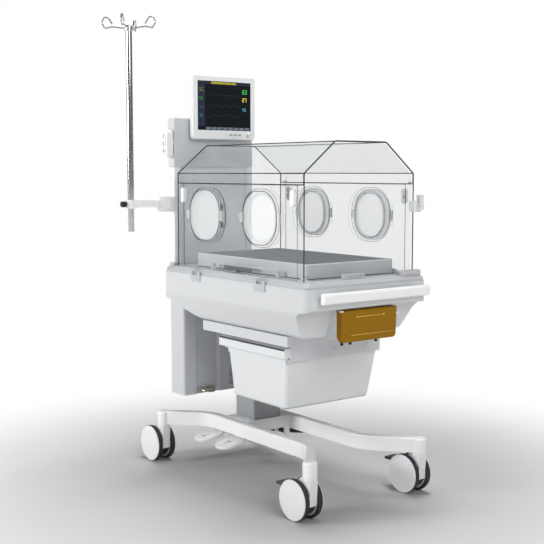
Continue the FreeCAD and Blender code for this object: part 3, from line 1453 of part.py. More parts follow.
def pole_clamp_knob():
    """Knurled clamp knob with its screw in the collar."""
    start = collar_radius + part_clearance
    r = clamp_knob_radius
    tip = pole_radius + 2 * part_clearance
    profile = [(0.0, tip), (clamp_screw_radius, tip), (clamp_screw_radius, start), (r * 0.7, start)]
    profile += [(r, start + 5.0), (r, start + 20.0), (r - 2.0, start + 22.0), (0.0, start + 22.0)]
    return turned(profile, Vec(pole_x, pole_y, collar_z), Vec(0, -1, 0))


def tube_holder():
    """Breathing-tube holder clipped to the foot-end corner of the hood, with two prongs and a knob."""
    x = hood_foot_x
    y = holder_y
    z = holder_z
    half = holder_half_width
    deep = x + holder_depth
    body = plate("z", z, z + holder_height, [(x, y - half, 0.0), (deep, y - half, 6.0), (deep, y + half, 6.0),
                                             (x, y + half, 0.0)])
    shelf = box(deep - 10.0, deep + 22.0, y - 10.0, y + 10.0, z + 8.0, z + 20.0)
    prongs = []
    for start in (deep - 4.0, deep - 4.0 + prong_pitch):
        prongs.append(box(start, start + prong_thickness, y - 8.0, y + 8.0, z + 12.0, z + 12.0 + prong_height))
    knob_x = (x + deep) / 2
    knob = rod(8.0, Vec(knob_x, y + half - 1.0, z + 14.0), Vec(knob_x, y + 2 * half, z + 14.0))
    return body.fuse([shelf, knob] + prongs).removeSplitter()


# Air system

def fan_motor():
    """Fan motor standing on the tub floor with its shaft up."""
    base = tub_bottom + tub_wall
    r = fan_motor_radius
    profile = [(0.0, 0.0), (r + 12.0, 0.0), (r + 12.0, 5.0), (r, 5.0), (r, fan_motor_height - 4.0)]
    seat = impeller_z - part_clearance - base
    profile += [(r - 4.0, fan_motor_height), (fan_shaft_radius + 4.0, fan_motor_height)]
    profile += [(fan_shaft_radius + 4.0, seat), (fan_shaft_radius, seat)]
    profile += [(fan_shaft_radius, impeller_z + impeller_height - base), (0.0, impeller_z + impeller_height - base)]
    return turned(profile, Vec(fan_x, 0, base), Vec(0, 0, 1))


def fan_impeller():
    """Centrifugal impeller: a hub, a back disc and curved blades."""
    center = Vec(fan_x, 0, impeller_z)
    disc = Part.makeCylinder(impeller_radius, 3.0, center)
    hub = Part.makeCylinder(14.0, impeller_height - 4.0, center)
    blades = []
    for i in range(impeller_blades):
        turn = 360.0 * i / impeller_blades
        start = Vec(fan_x + 30.0, 0.0, impeller_z + 2.0)
        middle = Vec(fan_x + 50.0, 5.0, impeller_z + 2.0)
        end = Vec(fan_x + impeller_radius - 5.0, 18.0, impeller_z + 2.0)
        shift = Vec(-0.5, 2.0, 0)
        rim = Part.Wire([Part.Arc(start, middle, end).toShape(), Part.LineSegment(end, end + shift).toShape(),
                         Part.Arc(end + shift, middle + shift, start + shift).toShape(),
                         Part.LineSegment(start + shift, start).toShape()])
        blade = Part.Face(rim).extrude(Vec(0, 0, impeller_height - 6.0))
        blade.rotate(Vec(fan_x, 0, 0), Vec(0, 0, 1), turn)
        blades.append(blade)
    wheel = disc.fuse([hub] + blades)
    bore = Part.makeCylinder(fan_shaft_radius + running_clearance, impeller_height + 2.0, center - Vec(0, 0, 1.0))
    return wheel.cut(bore).removeSplitter()


def heater():
    """Ring heater round the impeller on three legs from the tub floor."""
    z = impeller_z + impeller_height / 2
    ring = Part.makeTorus(heater_radius, heater_tube_radius, Vec(fan_x, 0, z))
    legs = []
    for i in range(3):
        turn = math.radians(30.0 + 120.0 * i)
        at = Vec(fan_x + heater_radius * math.cos(turn), heater_radius * math.sin(turn), tub_bottom + tub_wall)
        legs.append(Part.makeCylinder(4.0, z - at.z, at))
    return ring.fuse(legs).removeSplitter()


def build():
    """Write every sub-part."""
    os.makedirs("parts", exist_ok=True)
    leg = base_leg()
    save("base_leg_near", leg)
    save("base_leg_far", mirror_y(leg))
    save("base_cross_member", cross_member())
    save("column_outer", column_outer())
    save("column_inner", column_inner())
    corners = {"near_head": (-caster_x, -caster_y, False), "near_foot": (caster_x, -caster_y, True)}
    corners["far_head"] = (-caster_x, caster_y, False)
    corners["far_foot"] = (caster_x, caster_y, True)
    for name, (x, y, braked) in corners.items():
        save("caster_fork_" + name, caster_fork(x, y, braked))
        save("caster_hubs_" + name, caster_hubs(x, y))
        save("caster_tyres_" + name, *caster_tyres(x, y))
        if braked:
            save("brake_lever_" + name, brake_lever(x, y))
    for name, x in (("up", pedal_foot_x), ("down", pedal_head_x)):
        save("pedal_near_" + name, pedal(x, near_pedal_half_width, near_pedal_tip_y))
        save("pedal_far_" + name, mirror_y(pedal(x, far_pedal_half_width, far_pedal_tip_y)))
    save("support_frame", support_frame())
    save("body_shell", body_shell())
    save("deck", deck())
    save("handle_bar", handle_bar())
    save("water_tank", water_tank())
    save("drawer_bin", drawer_bin())
    save("rear_housing", rear_housing())
    save("gas_inlet", gas_inlet())
    save("tower", tower())
    save("control_box", control_box())
    save("sensor_module", sensor_module())
    save("foot_end_panel", end_panel(hood_foot_x - acrylic, hood_foot_x, -1.0))
    save("head_end_panel", end_panel(hood_head_x + acrylic, hood_head_x, 1.0))
    save("canopy", canopy())
    panel = side_panel()
    save("front_panel", panel)
    save("rear_panel", mirror_y(panel))
    latch_xs = {"head": hood_head_x + post_width + panel_gap + latch_x_inset}
    latch_xs["foot"] = hood_foot_x - post_width - panel_gap - latch_x_inset
    for name, x in latch_xs.items():
        save("front_latch_" + name, panel_latch(x))
        save("rear_latch_" + name, mirror_y(panel_latch(x)))
    for name, x in (("head", port_head_x), ("foot", port_foot_x)):
        save("front_port_door_" + name, port_door(x))
        save("rear_port_door_" + name, mirror_y(port_door(x)))
    save("bed_tray", bed_tray())
    save("mattress", mattress())
    save("tilt_slider", tilt_slider())
    save("monitor_housing", monitor_housing())
    save("monitor_screen", monitor_screen())
    save("encoder_knob", encoder_knob())
    save("iv_pole", iv_pole())
    save("pole_bracket", pole_bracket())
    save("pole_clamp_knob", pole_clamp_knob())
    save("tube_holder", tube_holder())
    save("fan_motor", fan_motor())
    save("fan_impeller", fan_impeller())
    save("heater", heater())


build()
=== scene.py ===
# %% [markdown]
# # An infant incubator on a wheeled stand
# The solids come from the imported part, and they never move here. This script gives each of them the surface
# of its real material, with painted shade and painted light on a few of them, and adds the thin and soft
# things that a solid model leaves plain: the mattress cover, the picture on the monitor, the seals of the
# hand ports, painted dark and pale lines on the edges of the acrylic and the arrows on the pedals. Each of
# those is a surface worked out with numpy.

import math

import bpy
import numpy as np
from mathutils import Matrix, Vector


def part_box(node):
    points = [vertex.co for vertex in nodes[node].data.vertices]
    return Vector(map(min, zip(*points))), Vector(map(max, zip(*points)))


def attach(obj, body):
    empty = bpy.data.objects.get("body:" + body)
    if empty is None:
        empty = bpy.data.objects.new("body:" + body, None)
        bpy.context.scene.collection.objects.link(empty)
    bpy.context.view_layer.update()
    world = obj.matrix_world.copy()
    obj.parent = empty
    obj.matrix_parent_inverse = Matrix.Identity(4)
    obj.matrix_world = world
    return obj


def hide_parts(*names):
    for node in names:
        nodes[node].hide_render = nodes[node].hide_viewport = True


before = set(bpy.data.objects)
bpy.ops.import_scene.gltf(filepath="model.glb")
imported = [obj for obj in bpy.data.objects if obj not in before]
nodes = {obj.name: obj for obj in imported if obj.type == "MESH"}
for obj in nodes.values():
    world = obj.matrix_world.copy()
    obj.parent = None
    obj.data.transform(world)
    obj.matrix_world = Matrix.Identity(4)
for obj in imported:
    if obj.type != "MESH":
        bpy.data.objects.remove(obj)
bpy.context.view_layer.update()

# %% [markdown]
# ## Colours and nodes
# Paint and plastic makers give colours as sRGB, the numbers a screen shows. Blender's shader sockets want
# linear light. One function turns one into the other, and one function adds any shader node with its
# settings and links.


# %% Colour and node helpers
def srgb(hex_colour):
    """Linear RGBA of an sRGB hex colour: c/12.92 below 0.04045, else ((c + 0.055)/1.055) to the power 2.4."""
    value = np.array([int(hex_colour[i:i + 2], 16) for i in (1, 3, 5)]) / 255.0
    linear = np.where(value <= 0.04045, value / 12.92, ((value + 0.055) / 1.055) ** 2.4)
    return tuple(float(c) for c in linear) + (1.0,)


def add_node(tree, kind, settings=None, links=None):
    """A shader node of a kind: settings go on sockets or properties, links come from (node, socket) pairs."""
    node = tree.nodes.new(kind)
    for key, value in (settings or {}).items():
        if isinstance(key, int) or key in node.inputs:
            node.inputs[key].default_value = value
        else:
            setattr(node, key, value)
    for key, (source, socket) in (links or {}).items():
        tree.links.new(source.outputs[socket], node.inputs[key])
    return node


def start_material(name, colour, roughness, metallic=0.0, ior=None, alpha=1.0):
    """A material with one Principled shader, its constants set on the shader's own sockets."""
    material = bpy.data.materials.new(name)
    material.use_nodes = True
    tree = material.node_tree
    tree.nodes.clear()
    shader = add_node(tree, "ShaderNodeBsdfPrincipled", {"Base Color": srgb(colour), "Roughness": roughness,
                                                         "Metallic": metallic, "Alpha": alpha})
    if ior is not None:
        shader.inputs["IOR"].default_value = ior
    add_node(tree, "ShaderNodeOutputMaterial", links={"Surface": (shader, "BSDF")})
    return material, tree, shader


def grain(tree, shader, size_mm, height_mm, detail=2.0, strength=0.3):
    """Fine bumps of a real size: noise with one wave per size_mm, in metres, through a Bump node."""
    place = add_node(tree, "ShaderNodeTexCoord")
    noise = add_node(tree, "ShaderNodeTexNoise", {"Scale": 1000.0 / size_mm, "Detail": detail},
                     {"Vector": (place, "Object")})
    bump = add_node(tree, "ShaderNodeBump", {"Strength": strength, "Distance": height_mm / 1000.0},
                    {"Height": (noise, 0)})
    tree.links.new(bump.outputs["Normal"], shader.inputs["Normal"])
    return noise


# %% [markdown]
# ## White moulded covers
# The tub, the monitor's bezel, the controller box and the handle are injection moulded ABS, a plastic
# with an IOR of 1.53. A polished mould gives a soft gloss. Its faint orange peel is about 1.5 mm across,
# and here it is drawn at 4 mm so that it shows at all.


# %% Moulded plastics
abs_ior = 1.53
acrylic_ior = 1.49
clear_coat_ior = 1.5


def moulded_abs(name, colour, roughness, peel=0.06):
    """Injection moulded ABS: constant colour, soft gloss and a faint orange peel."""
    material, tree, shader = start_material(name, colour, roughness, ior=abs_ior)
    grain(tree, shader, size_mm=4.0, height_mm=0.05, strength=peel)
    return material


white_abs = moulded_abs("white_moulded_abs", "#CFD1D3", 0.3)
bright_abs = moulded_abs("white_polished_abs", "#F0F1F2", 0.2, 0.03)
housing_abs = moulded_abs("pale_grey_moulded_abs", "#C9CBCE", 0.36)
drawer_abs = moulded_abs("pale_moulded_abs_drawer", "#DFE1E3", 0.42, 0.1)
deck_abs = moulded_abs("mid_grey_moulded_abs", "#BBBDC0", 0.45, 0.12)
tray_abs = moulded_abs("grey_moulded_abs_tray", "#BFC2C5", 0.42, 0.1)
# The tower's white is painted lighter than the other white mouldings: painted light, for a part that stands
# in shade behind the hood.
tower_abs_painted_light = moulded_abs("pale_moulded_abs_tower", "#F4F5F6", 0.4, 0.08)
hub_nylon = moulded_abs("pale_grey_moulded_nylon", "#ECEDEF", 0.38, 0.08)
dark_abs = moulded_abs("dark_grey_moulded_abs", "#3A3C3F", 0.42, 0.1)
holder_abs = moulded_abs("pale_moulded_abs_holder", "#DDDFE1", 0.4, 0.08)
knob_bakelite = moulded_abs("black_pressed_phenolic", "#1B1B1D", 0.3, 0.05)
print("moulded plastics:", len([m for m in bpy.data.materials if "moulded" in m.name]))

# %% [markdown]
# ## Painted steel
# The stand's bars are steel with a baked powder coat. It flows into a gloss skin with slow waves some 6 mm
# long, which break up the reflections a little. The lifting column is the same paint in a satin pale grey,
# and its colour here is painted darker, as painted shade for the deep shadow it stands in under the tub. The
# frame under the tub is painted greyer than the bars, as painted shade as well.


# %% Powder coats
def powder_coat(name, colour, roughness):
    """Baked powder coat: a plastic-like gloss film with slow waves, and a clear top coat."""
    material, tree, shader = start_material(name, colour, roughness, ior=clear_coat_ior)
    shader.inputs["Coat Weight"].default_value = 0.35
    shader.inputs["Coat Roughness"].default_value = 0.12
    grain(tree, shader, size_mm=6.0, height_mm=0.08, strength=0.08)
    return material


stand_coat = powder_coat("white_powder_coated_steel", "#F4F5F6", 0.3)
# The column's grey is painted darker than its paint: painted shade for the shadow under the tub.
column_coat_painted_shade = powder_coat("grey_powder_coat_painted_shade", "#96989B", 0.38)
# The frame's coat is painted greyer than the stand's white: painted shade for the shadow under the tub.
frame_coat_painted_shade = powder_coat("white_powder_coat_painted_shade", "#CED0D3", 0.34)
print("powder coats made")

# %% [markdown]
# ## Metals
# The infusion pole is stainless tube, polished until it mirrors the room. Its colour is the grey of bare
# steel with a metallic value of 1, and its roughness is small. The gas fitting is nickel on brass.

# %% Metals
polished_steel, tree, shader = start_material("polished_stainless_tube", "#C4C5C7", 0.12, 1.0)
nickel, tree, shader = start_material("nickel_plated_brass", "#BDB8AC", 0.22, 1.0)
cast_alloy, tree, shader = start_material("cast_aluminium_motor_case", "#9EA0A3", 0.45, 1.0)
grain(tree, shader, size_mm=2.0, height_mm=0.1, strength=0.25)
heater_sheath, tree, shader = start_material("steel_sheathed_heater", "#8E8A86", 0.35, 1.0)
print("metals made")

# %% [markdown]
# ## Rubber and tyre
# The caster tread is polyurethane, dark and nearly matt. The far pedals have ribs every 9 mm pressed into
# black rubber. A wave along Y makes them: its scale is set from that spacing.

# %% Rubbers
tread_rubber, tree, shader = start_material("dark_polyurethane_tread", "#2B2C2F", 0.55, ior=1.5)
grain(tree, shader, size_mm=1.5, height_mm=0.05, strength=0.2)
ribbed_rubber, tree, shader = start_material("black_ribbed_rubber", "#18191A", 0.6, ior=1.5)
rib_spacing_mm = 9.0
place = add_node(tree, "ShaderNodeTexCoord")
# The wave node fits 20 of its units into one turn, so one rib per spacing needs this scale.
rib_scale = math.tau / 20.0 / (rib_spacing_mm / 1000.0)
ribs = add_node(tree, "ShaderNodeTexWave", {"Scale": rib_scale, "bands_direction": "Y"},
                {"Vector": (place, "Object")})
rib_bump = add_node(tree, "ShaderNodeBump", {"Strength": 0.6, "Distance": 0.001}, {"Height": (ribs, 1)})
tree.links.new(rib_bump.outputs["Normal"], shader.inputs["Normal"])
silicone_ior = 1.41
seal_rubber, tree, shader = start_material("grey_silicone_seal", "#C3C6C9", 0.4, ior=silicone_ior)
print("rib scale:", round(rib_scale, 2))

# %% [markdown]
# ## Clear acrylic
# The hood is cast acrylic, 6 mm thick. Looked at straight on it nearly vanishes, and at a low angle it
# mirrors the room. Full refraction through ten layers of sheet takes long and makes noise. Here the sheet
# is mostly see-through with an opacity that rises toward grazing angles, as the real reflection does.
# Sawn and polished edges carry light along the sheet and look darker. That look is painted on strips of their
# own: dark strips are painted shade at sawn edges and folds, and paler strips are painted light at polished
# rims.


# %% Acrylic
def cast_acrylic(name, colour, facing, grazing):
    """Clear sheet: opacity runs from facing to grazing with the Layer Weight's facing value."""
    material, tree, shader = start_material(name, colour, 0.04, ior=acrylic_ior)
    weight = add_node(tree, "ShaderNodeLayerWeight", {"Blend": 0.35})
    opacity = add_node(tree, "ShaderNodeMapRange", {"To Min": facing, "To Max": grazing},
                       {"Value": (weight, "Facing")})
    tree.links.new(opacity.outputs["Result"], shader.inputs["Alpha"])
    return material


hood_acrylic = cast_acrylic("clear_cast_acrylic", "#ABB1B6", 0.02, 0.27)
# The port doors are whiter and more opaque than the hood sheet: a painted reflection that lets them read
# against it.
door_acrylic_painted_reflection = cast_acrylic("clear_moulded_acrylic", "#F2F4F5", 0.22, 0.75)
# Dark strips: painted shade along sawn edges and folds.
acrylic_edge_painted_shade, tree, shader = start_material("acrylic_edge_painted_dark", "#25282C", 0.2, ior=acrylic_ior, alpha=0.85)
# Pale strips: painted light along polished rims.
acrylic_edge_painted_light, tree, shader = start_material("acrylic_edge_painted_pale", "#7F868E", 0.12,
                                                 ior=acrylic_ior, alpha=0.75)
print("acrylics made")

# %% [markdown]
# ## Two colours on one solid
# The housing between the twin wheels is white above and black below, two mouldings that meet at a level
# line. The amber water tank has black rubber feet below its base. In both, the height in Object
# coordinates picks the colour, because the part stands on the floor at zero.


# %% Two-tone finishes
def two_tone(tree, shader, height, below, above):
    """Base colour by height: one colour under a level seam and another over it."""
    place = add_node(tree, "ShaderNodeTexCoord")
    split = add_node(tree, "ShaderNodeSeparateXYZ", links={0: (place, "Object")})
    over = add_node(tree, "ShaderNodeMath", {"operation": "GREATER_THAN", 1: height}, {0: (split, "Z")})
    tone = add_node(tree, "ShaderNodeMix", {"data_type": "RGBA"}, {"Factor": (over, 0)})
    tone.inputs[6].default_value = srgb(below)
    tone.inputs[7].default_value = srgb(above)
    tree.links.new(tone.outputs[2], shader.inputs["Base Color"])


caster_seam, tank_base = 0.060, 0.6215
caster_white, caster_black = "#EDEEF0", "#1D1E20"
amber, foot_black = "#936900", "#151515"
caster_shell, tree, shader = start_material("two_tone_caster_housing", caster_white, 0.32, ior=abs_ior)
two_tone(tree, shader, caster_seam, caster_black, caster_white)
amber_resin, tree, shader = start_material("amber_moulded_polysulfone", amber, 0.2, ior=clear_coat_ior)
two_tone(tree, shader, tank_base, foot_black, amber)
shader.inputs["Specular IOR Level"].default_value = 0.12

# %% [markdown]
# ## Textile and glass
# The mattress has a welded cover of coated cloth, dark grey, with a fine weave. The monitor's glass is
# dark and smooth, and the picture behind it glows.

# %% Cover and glass
cover_cloth, tree, shader = start_material("coated_woven_cover", "#54575B", 0.55, ior=1.5)
grain(tree, shader, size_mm=1.2, height_mm=0.1, strength=0.35)
display_glass, tree, shader = start_material("dark_display_glass", "#0B1016", 0.08, ior=1.52)
print("materials so far:", len(bpy.data.materials))

# %% [markdown]
# ## Which piece is made of what
# One table says it for all sixty solids, so it can be read and changed like a parts list.

# %% Finishes of the solids
corner_names = ["near_head", "near_foot", "far_foot", "far_head"]
finishes = {"base_leg_near": stand_coat, "base_leg_far": stand_coat, "base_cross_member": stand_coat,
            "column_outer": column_coat_painted_shade, "column_inner": column_coat_painted_shade, "support_frame": frame_coat_painted_shade,
            "body_shell": white_abs, "deck": deck_abs, "handle_bar": bright_abs, "water_tank": amber_resin,
            "drawer_bin": drawer_abs, "rear_housing": housing_abs, "gas_inlet": nickel, "tower": tower_abs_painted_light,
            "control_box": white_abs, "sensor_module": bright_abs, "foot_end_panel": hood_acrylic,
            "head_end_panel": hood_acrylic, "canopy": hood_acrylic, "front_panel": hood_acrylic,
            "rear_panel": hood_acrylic, "bed_tray": tray_abs, "mattress": cover_cloth,
            "tilt_slider": dark_abs,
            "monitor_housing": bright_abs, "monitor_screen": display_glass, "encoder_knob": holder_abs,
            "iv_pole": polished_steel, "pole_bracket": bright_abs, "pole_clamp_knob": knob_bakelite,
            "tube_holder": holder_abs, "fan_motor": cast_alloy, "fan_impeller": dark_abs,
            "heater": heater_sheath}
for corner in corner_names:
    finishes["caster_fork_" + corner] = caster_shell
    finishes["caster_hubs_" + corner] = hub_nylon
    finishes["caster_tyres_" + corner] = tread_rubber
for corner in ("near_foot", "far_foot"):
    finishes["brake_lever_" + corner] = dark_abs
for way in ("up", "down"):
    finishes["pedal_near_" + way] = bright_abs
    finishes["pedal_far_" + way] = ribbed_rubber
for side in ("front", "rear"):
    for end in ("head", "foot"):
        finishes[side + "_latch_" + end] = bright_abs
        finishes[side + "_port_door_" + end] = door_acrylic_painted_reflection
for name, material in finishes.items():
    mesh = nodes[name].data
    mesh.materials.clear()
    mesh.materials.append(material)
print("finished solids:", len(finishes), "of", len(nodes))

# %% [markdown]
# ## Surfaces from arrays
# A new piece is a grid of points: two parameters run along rows and columns, and the place of each point
# is worked out for all of them at once. One function puts such points and faces into a mesh.


# %% Mesh helpers
def make_piece(name, points, faces, body, material, smooth=True):
    """A mesh object at the origin from an (n, 3) array of points and a list of faces, riding on a body."""
    mesh = bpy.data.meshes.new(name)
    mesh.from_pydata(np.asarray(points, float).tolist(), [], [list(face) for face in faces])
    mesh.polygons.foreach_set("use_smooth", np.full(len(mesh.polygons), smooth))
    mesh.materials.append(material)
    mesh.update()
    piece = bpy.data.objects.new(name, mesh)
    bpy.context.scene.collection.objects.link(piece)
    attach(piece, body)
    return piece


def grid_faces(rows, columns, wrap_rows=False, wrap_columns=False):
    """Quads between neighbours of a grid; a wrapped direction joins its last line to its first."""
    i = np.arange(rows if wrap_rows else rows - 1)[:, None]
    j = np.arange(columns if wrap_columns else columns - 1)[None, :]
    i2, j2 = (i + 1) % rows, (j + 1) % columns
    around = (i * columns + j, i * columns + j2, i2 * columns + j2, i2 * columns + j)
    return np.stack(np.broadcast_arrays(*around), -1).reshape(-1, 4).tolist()


def rounded_outline(half_a, half_b, radius, count=96):
    """Points of a rounded rectangle, by angle: each corner's quarter circle sits at (half - radius)."""
    angle = np.linspace(0, math.tau, count, endpoint=False) + math.tau / count / 2
    a = np.sign(np.cos(angle)) * (half_a - radius) + radius * np.cos(angle)
    b = np.sign(np.sin(angle)) * (half_b - radius) + radius * np.sin(angle)
    return a, b


# %% [markdown]
# ## Mattress
# The cover is a welded bag over foam. It is flat below, where it lies in the tray, its sides bulge a
# little, and its top is crowned. The outline is a rounded rectangle. The height follows a quarter ellipse
# at the rim and a low dome over the middle.

# %% Mattress surface
low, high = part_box("mattress")
centre = (np.array(low) + np.array(high)) / 2
half = (np.array(high) - np.array(low)) / 2
outline_count, corner_radius, rim_height = 160, 0.03, 0.62
edge_a, edge_b = rounded_outline(half[0], half[1], corner_radius, outline_count)
base_share, seam_share, side_share = np.linspace(0.0, 0.93, 14), np.full(5, 0.965), np.linspace(0.97, 1.0, 9)
top_share = np.linspace(0.99, 0.0, 26)
profile_share = np.concatenate([base_share, seam_share, side_share, top_share])
profile_height = np.concatenate([np.zeros(14), np.linspace(0.01, 0.12, 5), np.linspace(0.16, rim_height, 9),
                                 rim_height + (1 - rim_height) * np.sqrt(1 - top_share ** 4)])
x = centre[0] + profile_share[:, None] * edge_a[None, :]
y = centre[1] + profile_share[:, None] * edge_b[None, :]
z = low[2] + (2 * half[2]) * profile_height[:, None] * np.ones_like(x)
mattress_points = np.stack([x, y, z], -1).reshape(-1, 3)
rows = len(profile_share)
mattress_faces = grid_faces(rows, outline_count, wrap_columns=True)
cover = make_piece("mattress_cover", mattress_points, mattress_faces, "bed", cover_cloth)
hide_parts("mattress")
print("mattress quads:", len(mattress_faces))

# %% [markdown]
# ## The monitor's picture
# The picture is a set of flat patches just in front of the glass, which glow a little: a top bar, number
# blocks made of seven strokes each, three traces and a row of keys. The numbers are made up. A patch is
# four corners on the screen plane, so all patches of one colour make one mesh.

# %% Screen patches
screen_low, screen_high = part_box("monitor_screen")
picture_gap = 0.0003
screen_x = screen_high[0] + picture_gap
screen_width = screen_high[1] - screen_low[1]
screen_height = screen_high[2] - screen_low[2]


def glow(name, colour, strength):
    """A lit display colour: the same colour as base and as emission."""
    material, tree, shader = start_material(name, colour, 0.4)
    shader.inputs["Emission Color"].default_value = srgb(colour)
    shader.inputs["Emission Strength"].default_value = strength
    return material


def patches(name, boxes, material):
    """Rectangles (left, bottom, right, top) in shares of the screen, as quads facing +X."""
    r = np.array(boxes, float)
    y = screen_low[1] + screen_width * r[:, [0, 2, 2, 0]]
    z = screen_low[2] + screen_height * r[:, [1, 1, 3, 3]]
    points = np.stack([np.full_like(y, screen_x), y, z], -1).reshape(-1, 3)
    faces = np.arange(len(points)).reshape(-1, 4).tolist()
    return make_piece(name, points, faces, "monitor", material, smooth=False)


STROKES = {"0": "abcdef", "1": "bc", "2": "abged", "3": "abgcd", "4": "fgbc", "5": "afgcd", "6": "afgedc",
           "7": "abc", "8": "abcdefg", "9": "abcdfg"}


def digits(text, left, bottom, height):
    """Seven-stroke digits: each stroke is a thin rectangle of the digit's cell."""
    width, pen, made = height * 0.42, height * 0.14, []
    for n, letter in enumerate(text):
        x0 = left + n * width * 1.35
        x1, y0, y1 = x0 + width, bottom, bottom + height
        ym = (y0 + y1) / 2
        side = pen * 0.8
        cell = {"a": (x0, y1 - pen, x1, y1), "d": (x0, y0, x1, y0 + pen),
                "g": (x0, ym - pen / 2, x1, ym + pen / 2),
                "f": (x0, ym, x0 + side, y1), "b": (x1 - side, ym, x1, y1),
                "e": (x0, y0, x0 + side, ym), "c": (x1 - side, y0, x1, ym)}
        made += [cell[s] for s in STROKES[letter]]
    return made


trace_step = 0.012


def trace(base, swing, thickness):
    """A stepped line: rectangles one step wide at height base + swing, each twice the thickness tall."""
    height = base + swing
    return [(float(x), float(y) - thickness, float(x) + trace_step, float(y) + thickness)
            for x, y in zip(steps, height)]


steps = np.arange(0.17, 0.79, trace_step)
beat = 0.05 * np.sin(steps * 60.0) * (steps * 9.0 % 1 < 0.4)
print("steps of a trace:", len(steps))

# %% [markdown]
# ## What the picture shows
# Each colour is one call: the navy bars first, then yellow, green and teal numbers, the three traces for
# heart, pulse and breath, and eight grey keys along the bottom.

# %% Picture on the glass
bars = [(0.0, 0.93, 1.0, 1.0), (0.0, 0.075, 0.135, 0.93)]
alarm_bar = (0.25, 0.945, 0.72, 0.985)
yellow_marks = [alarm_bar] + digits("36", 0.025, 0.78, 0.085) + digits("27", 0.84, 0.60, 0.08)
green_marks = digits("58", 0.03, 0.62, 0.06) + digits("60", 0.84, 0.76, 0.09)
teal_marks = digits("98", 0.03, 0.27, 0.06) + digits("45", 0.84, 0.40, 0.07) + [(0.03, 0.46, 0.10, 0.475)]
heart, pulse = trace(0.72, beat, 0.002), trace(0.50, 0.02 * np.sin(steps * 40.0), 0.0015)
breath = trace(0.30, 0.02 * np.sin(steps * 25.0), 0.0015)
key_boxes = [(0.15 + i * 0.105, 0.012, 0.24 + i * 0.105, 0.062) for i in range(8)]
picture = [("screen_bar", bars, "screen_navy", "#10182E", 0.35),
           ("screen_yellow", yellow_marks, "screen_yellow", "#CFC23C", 0.9),
           ("screen_green", green_marks, "screen_green", "#2FA84F", 0.8),
           ("screen_teal", teal_marks, "screen_teal", "#3A8FA0", 0.7),
           ("screen_traces", heart + pulse + breath, "screen_faint_green", "#2C4A34", 0.5),
           ("screen_keys", key_boxes, "screen_key_grey", "#5A646E", 0.5)]
for name, boxes, lamp_name, colour, strength in picture:
    patches(name, boxes, glow(lamp_name, colour, strength))
print("colours on the glass:", len(picture))

# %% [markdown]
# ## Rods and lines along a path
# Seals, sawn edges and moulded beads are all the same shape: a small circle carried along a path. The
# path is an array of points, and at each point two directions across it carry the circle. One function
# does this for open and closed paths, and it can put many paths into one mesh.


# %% Sweep helper
def unit(vectors):
    """Each row divided by its own length."""
    return vectors / np.linalg.norm(vectors, axis=1, keepdims=True)


def swept(path, radius, closed=False, sides=8):
    """Circle carried along a path: point + radius * (cos t * across + sin t * up), open ends capped."""
    path = np.asarray(path, float)
    ahead = np.roll(path, -1, 0) - path
    behind = path - np.roll(path, 1, 0)
    if not closed:
        ahead[-1] = behind[-1]
        behind[0] = ahead[0]
    along = unit(unit(ahead) + unit(behind))
    flat = np.linalg.svd(path - path.mean(0))[2][2]
    across = unit(np.cross(along, flat))
    up = np.cross(along, across)
    turn = np.linspace(0, math.tau, sides, endpoint=False)
    ring = np.cos(turn)[None, :, None] * across[:, None, :] + np.sin(turn)[None, :, None] * up[:, None, :]
    points = (path[:, None, :] + radius * ring).reshape(-1, 3)
    faces = grid_faces(len(path), sides, wrap_rows=closed, wrap_columns=True)
    if not closed:
        faces.append(list(range(sides))[::-1])
        faces.append([len(points) - sides + i for i in range(sides)])
    return points, faces


def swept_set(name, paths, radius, body, material, closed=False, sides=8):
    """Many swept paths as one piece that rides on a body."""
    points, faces, count = [], [], 0
    for path in paths:
        made, quads = swept(path, radius, closed, sides)
        points.append(made)
        faces += [[i + count for i in quad] for quad in quads]
        count += len(made)
    return make_piece(name, np.concatenate(points), faces, body, material)


def oval_path(x, y, z, half_x, half_z, radius, count=72):
    """Rounded rectangle standing in the XZ plane at one Y."""
    a, b = rounded_outline(half_x, half_z, radius, count)
    return np.stack([x + a, np.full(count, y), z + b], -1)


def straight(start, end, steps=2):
    """Evenly spaced points from one end to the other."""
    share = np.linspace(0, 1, steps)[:, None]
    return np.asarray(start) + share * (np.asarray(end) - np.asarray(start))


print("sweep helpers ready")


# %% [markdown]
# ## Painted edge lines of the hood
# Where a clear sheet ends or folds, light is carried to the edge and the line looks dark, or pale where it
# was flame polished. These lines are what the eye reads as the hood. They are thin beads laid on the folds
# and rims, and their dark colour is painted shade standing in for that look of the edge.

# %% Hood edge lines
hood_low, hood_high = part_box("canopy")
x_head, x_foot = hood_low[0], hood_high[0]
side_y, bend_z = 0.265, 1.227
top_z, top_y, split_z = 1.341, 0.124, hood_low[2] + 0.0006
end_bead, fold_bead = 0.0028, 0.0020
fold = [(side_y, split_z), (side_y, bend_z - 0.006), (side_y - 0.0016, bend_z + 0.0012),
        (top_y + 0.005, top_z - 0.0046), (top_y, top_z - 0.0009), (top_y - 0.006, top_z)]
section = np.array([(-y, z) for y, z in fold] + [(y, z) for y, z in fold[::-1]])
end_lines = [np.column_stack([np.full(len(section), x), section]) for x in (x_head + 0.001, x_foot - 0.001)]
swept_set("hood_end_edges", end_lines, end_bead, "canopy", acrylic_edge_painted_shade)
fold_places = [(side_y - 0.0006, bend_z), (top_y + 0.001, top_z - 0.0008), (side_y, split_z)]
long_lines = [straight((x_head, s * y, z), (x_foot, s * y, z)) for s in (-1, 1) for y, z in fold_places]
swept_set("hood_fold_lines", long_lines, fold_bead, "canopy", acrylic_edge_painted_shade)
print("edge lines of the canopy:", len(end_lines) + len(long_lines))

